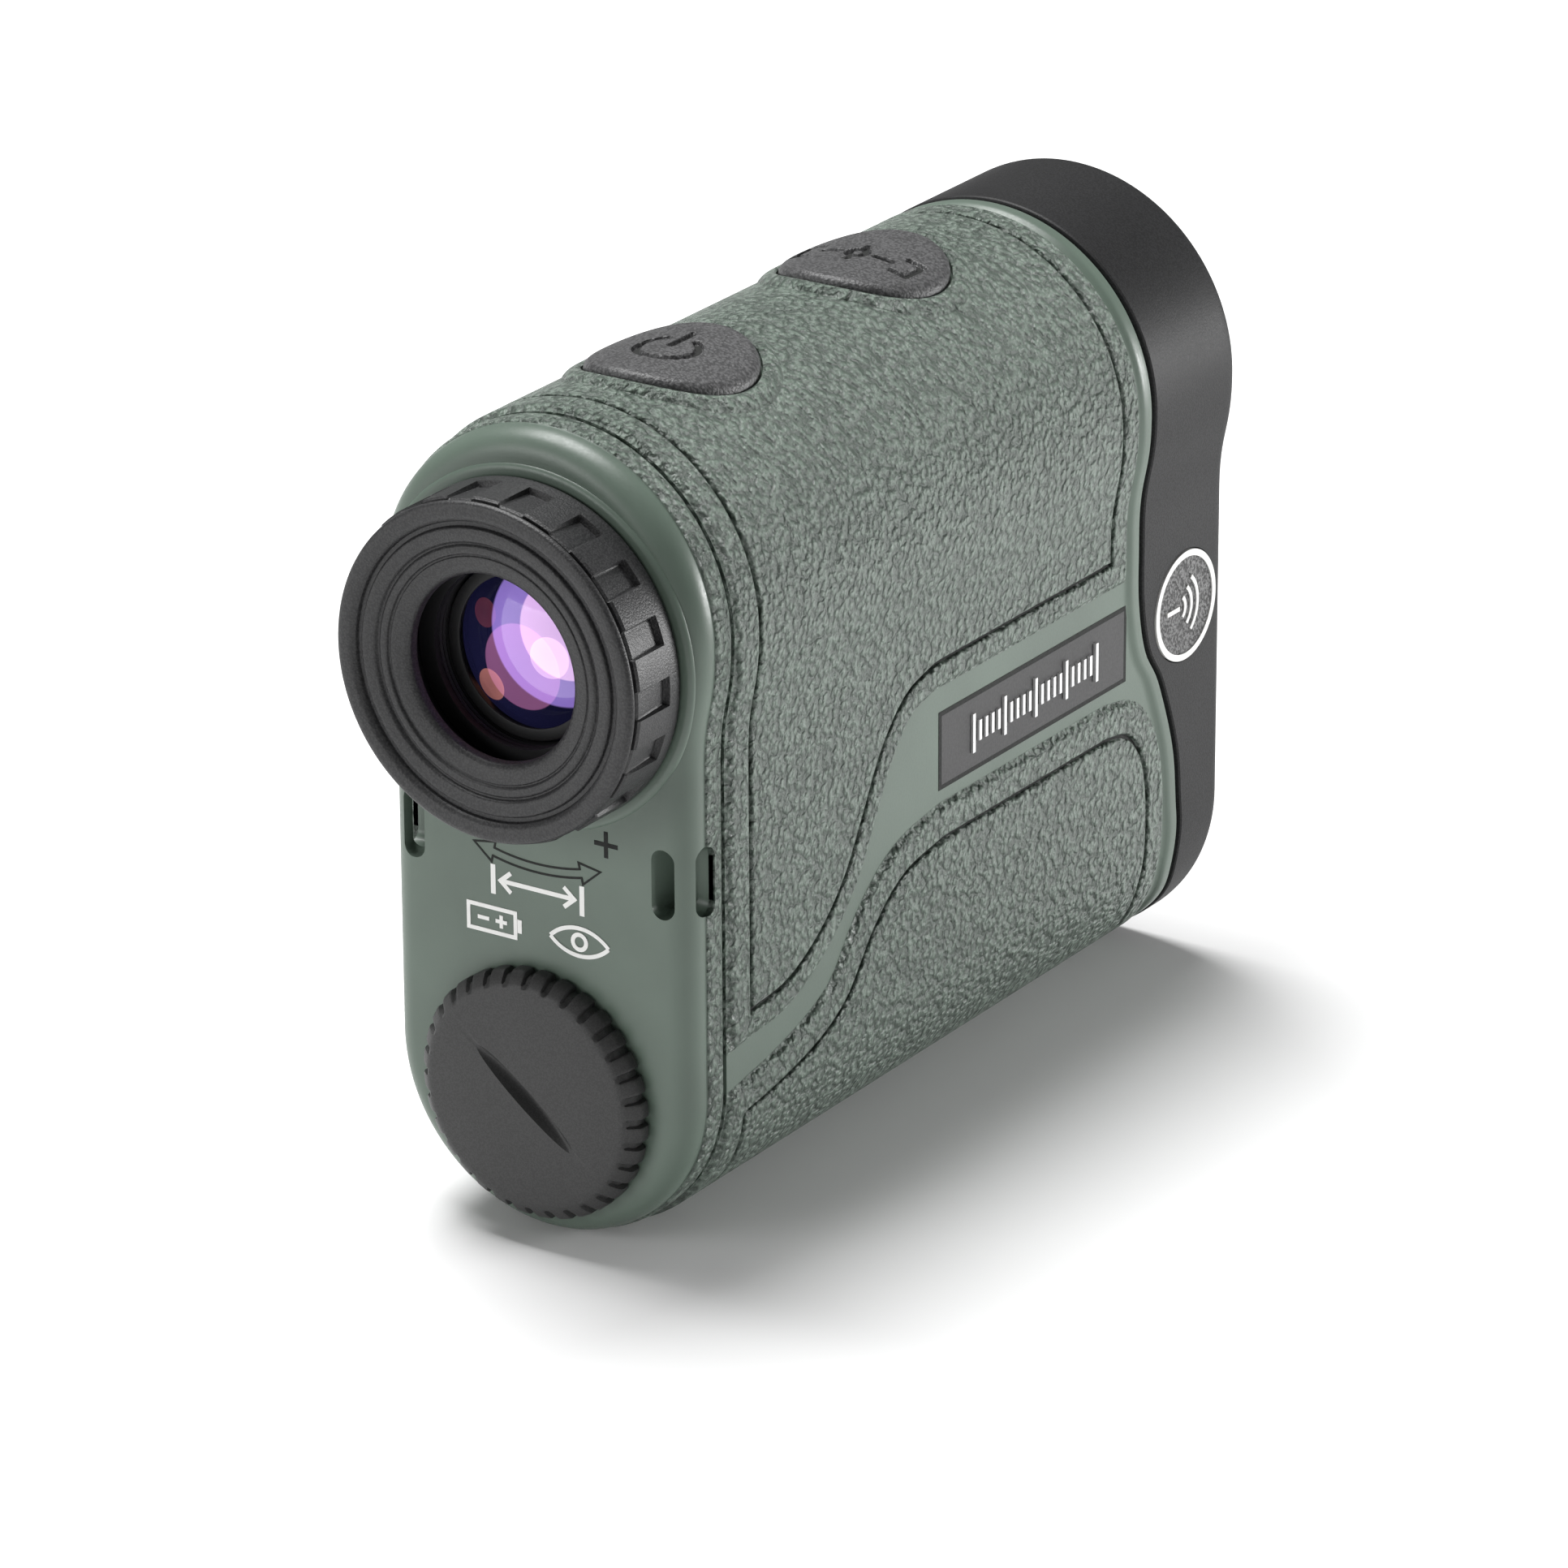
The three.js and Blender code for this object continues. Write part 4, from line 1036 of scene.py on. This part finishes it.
def eyepiece():
    cell = [
        (8.3, -3), (9.95, -3), (9.95, 13), (7.2, 13), (7.2, 11.8), (8.3, 11.8), (8.3, 6.2), (7.4, 6.2),
        (7.4, 3.2), (8.3, 3.2), *ribbed(0, -2.6, 8.3, 0.5, 0.12),
    ]
    alloy("ocular_barrel", cell, OPTIC_Z, "ocular_cell", "ocular")
    sleeve_line = [
        (10.15, -4.3), (11.7, -4.3), (11.7, 2.6), (12.6, 2.6), (12.6, 4.2), (11.7, 4.2), (11.7, 20),
        (10.15, 20),
    ]
    alloy("eyepiece_sleeve", rounded_profile(sleeve_line), OPTIC_Z, "eyepiece_tube")
    ring = rounded_profile([(6.9, -1.25), (8.1, -1.25), (8.1, -0.1), (7.3, -0.1)], 0.2)
    alloy("ocular_ring", ring, OPTIC_Z, "ocular_retainer", "ocular")
    glass("eye_glass", biconvex(8.1, 0.4, 2.6, 1.5), OPTIC_Z, EYE_GLASS, "eye_lens", "ocular")


def front_optics():
    cell = [
        (10.8, 66.4), (12.4, 66.4), (12.4, 84.8), *ribbed(84.8, 82.2, 10.8), (10.8, 75), (9.8, 75), (9.8, 74),
        (10.8, 74),
    ]
    alloy("objective_barrel", cell, OPTIC_Z, "objective_cell")
    ring = rounded_profile([(9.4, 80.6), (10.6, 80.6), (10.6, 81.9), (9.9, 81.9)], 0.2)
    alloy("objective_ring", ring, OPTIC_Z, "objective_retainer")
    glass("objective_glass", biconvex(10.5, 78.4, 80.2, 0.8), OPTIC_Z, FRONT_GLASS, "objective_front_lens")
    barrel = [
        (3, 44), (9.3, 44), (9.3, 84.9), *ribbed(84.9, 82.8, 8.15), (8.15, 78.6), (7.4, 78.6), (7.4, 46),
        (3, 46),
    ]
    alloy("laser_housing", barrel, LASER_Z, "laser_barrel")
    ring = rounded_profile([(6.8, 81.4), (7.95, 81.4), (7.95, 82.5), (7.3, 82.5)], 0.2)
    alloy("laser_ring", ring, LASER_Z, "laser_retainer")
    glass("laser_glass", biconvex(7.9, 79.3, 81, 0.5), LASER_Z, LASER_GLASS, "laser_lens")


# ---- battery bay
NOTCH_COUNT = 32
CAP_RADIUS = 11.7
CAP_FACE_Y = -2.5
THREAD_PITCH = 1.5
THREAD_RADIUS = 9.3
THREAD_DEEP = 0.32
COIN = {"radius": 19.0, "deep": 1.15, "half_wide": 2.6, "turn": math.radians(-38.3)}


def battery_cap():
    """The cap with its notched rim, thread and coin slot, its seal and its contact."""
    thread = [(THREAD_RADIUS, y) for y in np.arange(0.3, 4.2, 0.16)]
    profile = [
        (NEAR_AXIS, CAP_FACE_Y), (6, CAP_FACE_Y), (9.9, CAP_FACE_Y), (10.35, -2.44), (10.7, -2.25),
        (11.2, -1.85), (11.55, -1.5), (CAP_RADIUS, -1.2), (CAP_RADIUS, -0.35), (11.55, -0.15),
        (THREAD_RADIUS, -0.15), *thread, (9.2, 4.3), (8.1, 4.3), (8.1, -1.1), (NEAR_AXIS, -1.1),
    ]

    def reshape(a, r, y):
        pitch = 2 * math.pi / NOTCH_COUNT
        off = np.abs((a + pitch / 2) % pitch - pitch / 2) / pitch
        notch = smoothstep((0.17 - off) / 0.06 + 0.5)
        cut = np.where(r > 10.6, 0.5 * notch * smoothstep((r - 10.5) / 0.6), 0)
        threaded = np.where((np.abs(r - THREAD_RADIUS) < 0.05) & (y > 0.2), 1.0, 0)
        wave = 0.5 - 0.5 * np.cos(2 * math.pi * (y / THREAD_PITCH) - a)
        return r - cut - threaded * THREAD_DEEP * wave, y

    obj = lathe("battery_cap_shell", profile, BATTERY_Z, segments=NOTCH_COUNT * 16, change=reshape)
    made = bmesh.new()
    bmesh.ops.create_uvsphere(made, u_segments=160, v_segments=120, radius=1)
    c, s = math.cos(COIN["turn"]), math.sin(COIN["turn"])
    verts = []
    for v in made.verts:
        along, out, across = v.co.x * COIN["radius"], v.co.y * COIN["radius"], v.co.z * COIN["half_wide"]
        y = CAP_FACE_Y - COIN["radius"] + COIN["deep"] + out
        verts.append((along * c - across * s, y, BATTERY_Z + along * s + across * c))
    faces = [[v.index for v in f.verts] for f in made.faces]
    made.free()
    boolean(obj, raw("cutter", verts, faces))
    finish_piece(obj, CAP, "cap", ["battery_cap"])
    seal = np.stack(circle(0.4, 16), 1) + (10.15, 0.5)
    turned("cap_o_ring", seal, BATTERY_Z, RUBBER, "cap_ring", "cap_seal")
    contact = rounded_profile([(NEAR_AXIS, -0.95), (6.5, -0.95), (6.5, -0.6), (NEAR_AXIS, -0.6)], 0.1)
    turned("cap_plate", contact, BATTERY_Z, BRASS, "cap_core", "cap_contact")


def battery():
    can = [(NEAR_AXIS, 1.2), (7.75, 1.2), (7.75, 27.3), (3.2, 27.3), (3.2, 28.2), (NEAR_AXIS, 28.2)]
    turned("battery_can", rounded_profile(can, 0.5), BATTERY_Z, WRAP, "cell", "battery")
    bay = [(8.2, 4.8), (9.4, 4.8), (9.4, 31), (NEAR_AXIS, 31), (NEAR_AXIS, 29.6), (8.2, 29.6)]
    turned("battery_bay", rounded_profile(bay), BATTERY_Z, MOULDED, "body", "battery_tube")


# ---- buttons
def fine_line(points):
    """The polyline with extra points, so that it can be draped over a curve."""
    step = 0.35
    out = [np.array(points[0], float)]
    for a, b in zip(points, points[1:]):
        count = max(1, int(np.hypot(*np.subtract(b, a)) / step))
        out += [np.add(a, np.subtract(b, a) * (i + 1) / count) for i in range(count)]
    return np.array(out)


def button_marks():
    """Lines of a power symbol open towards +y, and of a bracketed aiming mark."""
    power = [arc(0, 0, 2.75, 122, 418, 60), fine_line([(0, 0.6), (0, 4.2)])]
    mode = [arc(0, 0, 0.85, 0, 360, 33), fine_line([(0, 0.9), (0, 1.8)]), fine_line([(0, -0.9), (0, -1.8)])]
    for side in (-1, 1):
        mode.append(fine_line([(side * 4.5, -1.5), (side * 5.9, -1.5), (side * 5.9, 1.5), (side * 4.5, 1.5)]))
        mode.append(fine_line([(side * 1.9, 0), (side * 3.6, 0)]))
    return {"power": [line + [-0.3, -0.2] for line in power], "mode": [line + [-0.5, -0.3] for line in mode]}


BUTTON_PROUD = 0.95
BUTTON_TURN = np.arange(320) * 2 * math.pi / 320  # the angles round a button
ENGRAVED = 0.42
STROKE = 0.72
LIP_GAP, LIP_WIDE = 0.2, 1.75


def draped(r, a, at, h):
    """A point at the plan radius r and angle a round a button, at the height h over the lobe."""
    x, y = r * np.cos(a), at + r * np.sin(a)
    total = LOBE_RADIUS + h
    return np.stack([x, y, LOBE_Z + np.sqrt(total**2 - x**2)], -1)


def button(name, lines):
    """A key with its engraved sign, a dark strip of painted shade along the sign's floor, and the raised lip
    round it.
    """
    radii = [*np.linspace(0.001, BUTTON_RADIUS - 0.8, 60), *(BUTTON_RADIUS - np.linspace(0.72, 0, 12))]
    r, a = np.meshgrid(radii, BUTTON_TURN, indexing="ij")
    plan = np.stack([r * np.cos(a), r * np.sin(a)], -1)
    edge = rounded(BUTTON_RADIUS - r, 0.75)
    away = np.minimum.reduce([to_line(plan, line) for line in lines])
    carved = ENGRAVED * (1 - smoothstep((away - STROKE / 2) / 0.14 + 0.5))
    at = BUTTON_Y[name]
    rings = [*draped(r, a, at, BUTTON_PROUD + edge - carved)]
    rings += [draped(radius, BUTTON_TURN, at, -0.44) for radius in (BUTTON_RADIUS, 0.6 * BUTTON_RADIUS)]
    finish_piece(tube(rings, f"{name}_key"), BUTTON, name, [f"{name}_button"], sharp=50)

    def place(x, y, h):
        return draped(np.hypot(x, y), np.arctan2(y, x), at, h)

    floor = BUTTON_PROUD - ENGRAVED
    # Painted shade: a dark strip laid at the floor of each engraved line.
    strokes = [stroke(line, STROKE - 0.06) for line in lines]
    relief(f"{name}_mark", strokes, place, floor - 0.1, floor + 0.03, SHADOW, body=name)
    inner = BUTTON_RADIUS + LIP_GAP
    rings = []
    for t in np.linspace(0, 1, 16):
        lip = 0.6 * max(0.0, math.sin(math.pi * (0.1 + 0.9 * t))) ** 0.6 - 0.12 * t
        rings.append(draped(inner + LIP_WIDE * t, BUTTON_TURN, at, lip))
    rings += [draped(radius, BUTTON_TURN, at, h) for radius, h in ((inner + LIP_WIDE, -0.4), (inner, -0.9))]
    finish_piece(tube(rings, f"{name}_lip", caps=False), ARMOUR, "body", sharp=50)


# ---- marks on the rear cover
def on_cover(x, z, height):
    return (x, -height, z)


def cover_marks():
    """Three printed pictograms (distance, battery, eye) and the engraved signs round the openings, drawn as
    dark strips of painted shade.
    """
    z = 33.45
    printed = [stroke([(x, z - 1.25), (x, z + 1.25)], 0.5) for x in (-4.7, 4.7)]
    printed.append(stroke([(-3.9, z), (3.9, z)], 0.42))
    for side in (-1, 1):
        printed.append(stroke([(side * 2.9, z + 0.85), (side * 3.9, z), (side * 2.9, z - 0.85)], 0.42))
    z = 29.55
    case = [(-7.4, z - 1.15), (-2.4, z - 1.15), (-2.4, z + 1.15), (-7.4, z + 1.15)]
    printed.append(stroke(case, 0.38, closed=True))
    printed.append(stroke([(-1.95, z - 0.5), (-1.95, z + 0.5)], 0.45))
    printed += [stroke([(x - 0.5, z), (x + 0.5, z)], 0.36) for x in (-5.8, -3.9)]
    printed.append(stroke([(-3.9, z - 0.5), (-3.9, z + 0.5)], 0.36))
    for side in (1, -1):
        printed.append(stroke(arc(4.4, z - side * 3.0, 4.3, side * 90 - 44, side * 90 + 44), 0.38))
    printed.append(stroke(arc(4.4, z, 0.7, 0, 345, 24), 0.4, closed=True))
    relief("cover_print", printed, on_cover, -0.02, 0.03, WHITE)
    # Painted shade: the engraved signs are flat dark strips, not cut into the cover.
    engraved = [stroke([(x - 1.1, 39.3), (x + 1.1, 39.3)], 0.42) for x in (-7.3, 7.3)]
    engraved.append(stroke([(7.3, 38.2), (7.3, 40.4)], 0.42))
    engraved += [stroke(arc(0, OPTIC_Z, radius, -103, -77), 0.2) for radius in (20.1, 20.9)]
    for side in (-1, 1):
        tip, back = -90 + side * 19, -90 + side * 13
        corners = ((20.1, back), (19.5, back), (20.5, tip), (21.5, back), (20.9, back))
        head = [arc(0, OPTIC_Z, radius, angle, angle, 1)[0] for radius, angle in corners]
        engraved.append(stroke(head, 0.2))
    relief("cover_engraving_shade", engraved, on_cover, -0.02, 0.02, SHADOW)


# ---- the rest of the CAD
SLOT_LOOKS = {
    "armour_green": ARMOUR, "shell_green": GREEN, "bezel_black": BEZEL, "rubber_black": RUBBER,
    "plate_black": PLATE, "badge": STIPPLE, "black_alloy": ALLOY, "cap_black": CAP, "steel": STEEL,
    "brass": BRASS, "coated_glass": FRONT_GLASS, "clear_glass": GLASS, "inner_plastic": MOULDED,
    "board": BOARD, "chip": CHIP, "cell_wrap": WRAP,
}


def dress_cad():
    slots = {row["node"]: row["material_slot"] for row in frame["record"]["subparts"]}
    for name, obj in frame["nodes"].items():
        obj.data.materials.clear()
        obj.data.materials.append(SLOT_LOOKS[slots[name]])


# ---- stage, light and camera
WORLD_STRENGTH = 0.18
FLOOR_SIZE = 6  # metres
FOCAL_MM = 193.27
SENSOR_MM = 36
CAMERA_AT = (390.338, -550.158, 315.7)
CAMERA_TURN = (33.534, 22.003, -0.294)  # azimuth, elevation and roll in degrees


def stage():
    bpy.ops.mesh.primitive_plane_add(size=FLOOR_SIZE)
    floor = bpy.context.object
    floor.name = "floor"
    material, tree, shader, where = nodes_of("studio_floor")
    cloud = noise(tree, where, Scale=2.0)
    tree.links.new(grey_ramp(tree, cloud, 0.90, 0.92), shader.inputs["Base Color"])
    settings(shader, Roughness=0.9, Specular_IOR_Level=0.0)
    floor.data.materials.append(material)


def light(name, at, size, power, aim=(0, 0, 0.04)):
    data = bpy.data.lights.new(name, "AREA")
    data.shape = "RECTANGLE"
    data.size, data.size_y = size
    data.energy = power
    obj = bpy.data.objects.new(name, data)
    obj.location = at
    obj.rotation_euler = (Vector(aim) - Vector(at)).to_track_quat("-Z", "Y").to_euler()
    bpy.context.scene.collection.objects.link(obj)


def lights():
    light("top", (-0.26, 0.06, 0.90), (0.55, 0.55), 13.0)
    light("rim", (0.46, 0.42, 0.08), (0.22, 0.10), 3.0, aim=(0, 0, 0.045))
    light("rear", (-0.45, -0.85, 0.30), (0.5, 0.35), 2.9)
    world = bpy.data.worlds.new("studio")
    world.use_nodes = True
    settings(world.node_tree.nodes["Background"], Color=(1, 1, 1, 1), Strength=WORLD_STRENGTH)
    bpy.context.scene.world = world
    bpy.context.scene.view_settings.view_transform = "Standard"


def camera():
    azimuth, elevation, roll = (math.radians(v) for v in CAMERA_TURN)
    level, rise = math.cos(elevation), math.sin(elevation)
    back = Vector((math.sin(azimuth) * level, -math.cos(azimuth) * level, rise))
    right = Vector((math.cos(azimuth), math.sin(azimuth), 0))
    up = back.cross(right)
    c, s = math.cos(roll), math.sin(roll)
    axes = Matrix((c * right + s * up, c * up - s * right, back)).transposed()
    data = bpy.data.cameras.new("camera")
    data.lens = FOCAL_MM
    data.sensor_width = SENSOR_MM
    data.clip_start = 0.01
    obj = bpy.data.objects.new("camera", data)
    place = Vector(to_frame([CAMERA_AT])[0])
    obj.matrix_world = Matrix.Translation(place) @ axes.to_4x4()
    bpy.context.scene.collection.objects.link(obj)
    bpy.context.scene.camera = obj


# ---- build
dress_cad()
sleeve()
upper_pad()
lower_pad()
borders()
rear_cover()
bezel()
nameplates()
badges()
diopter_ring()
eyecup()
eyepiece()
front_optics()
battery_cap()
battery()
for name, lines in button_marks().items():
    button(name, lines)
cover_marks()
stage()
lights()
camera()
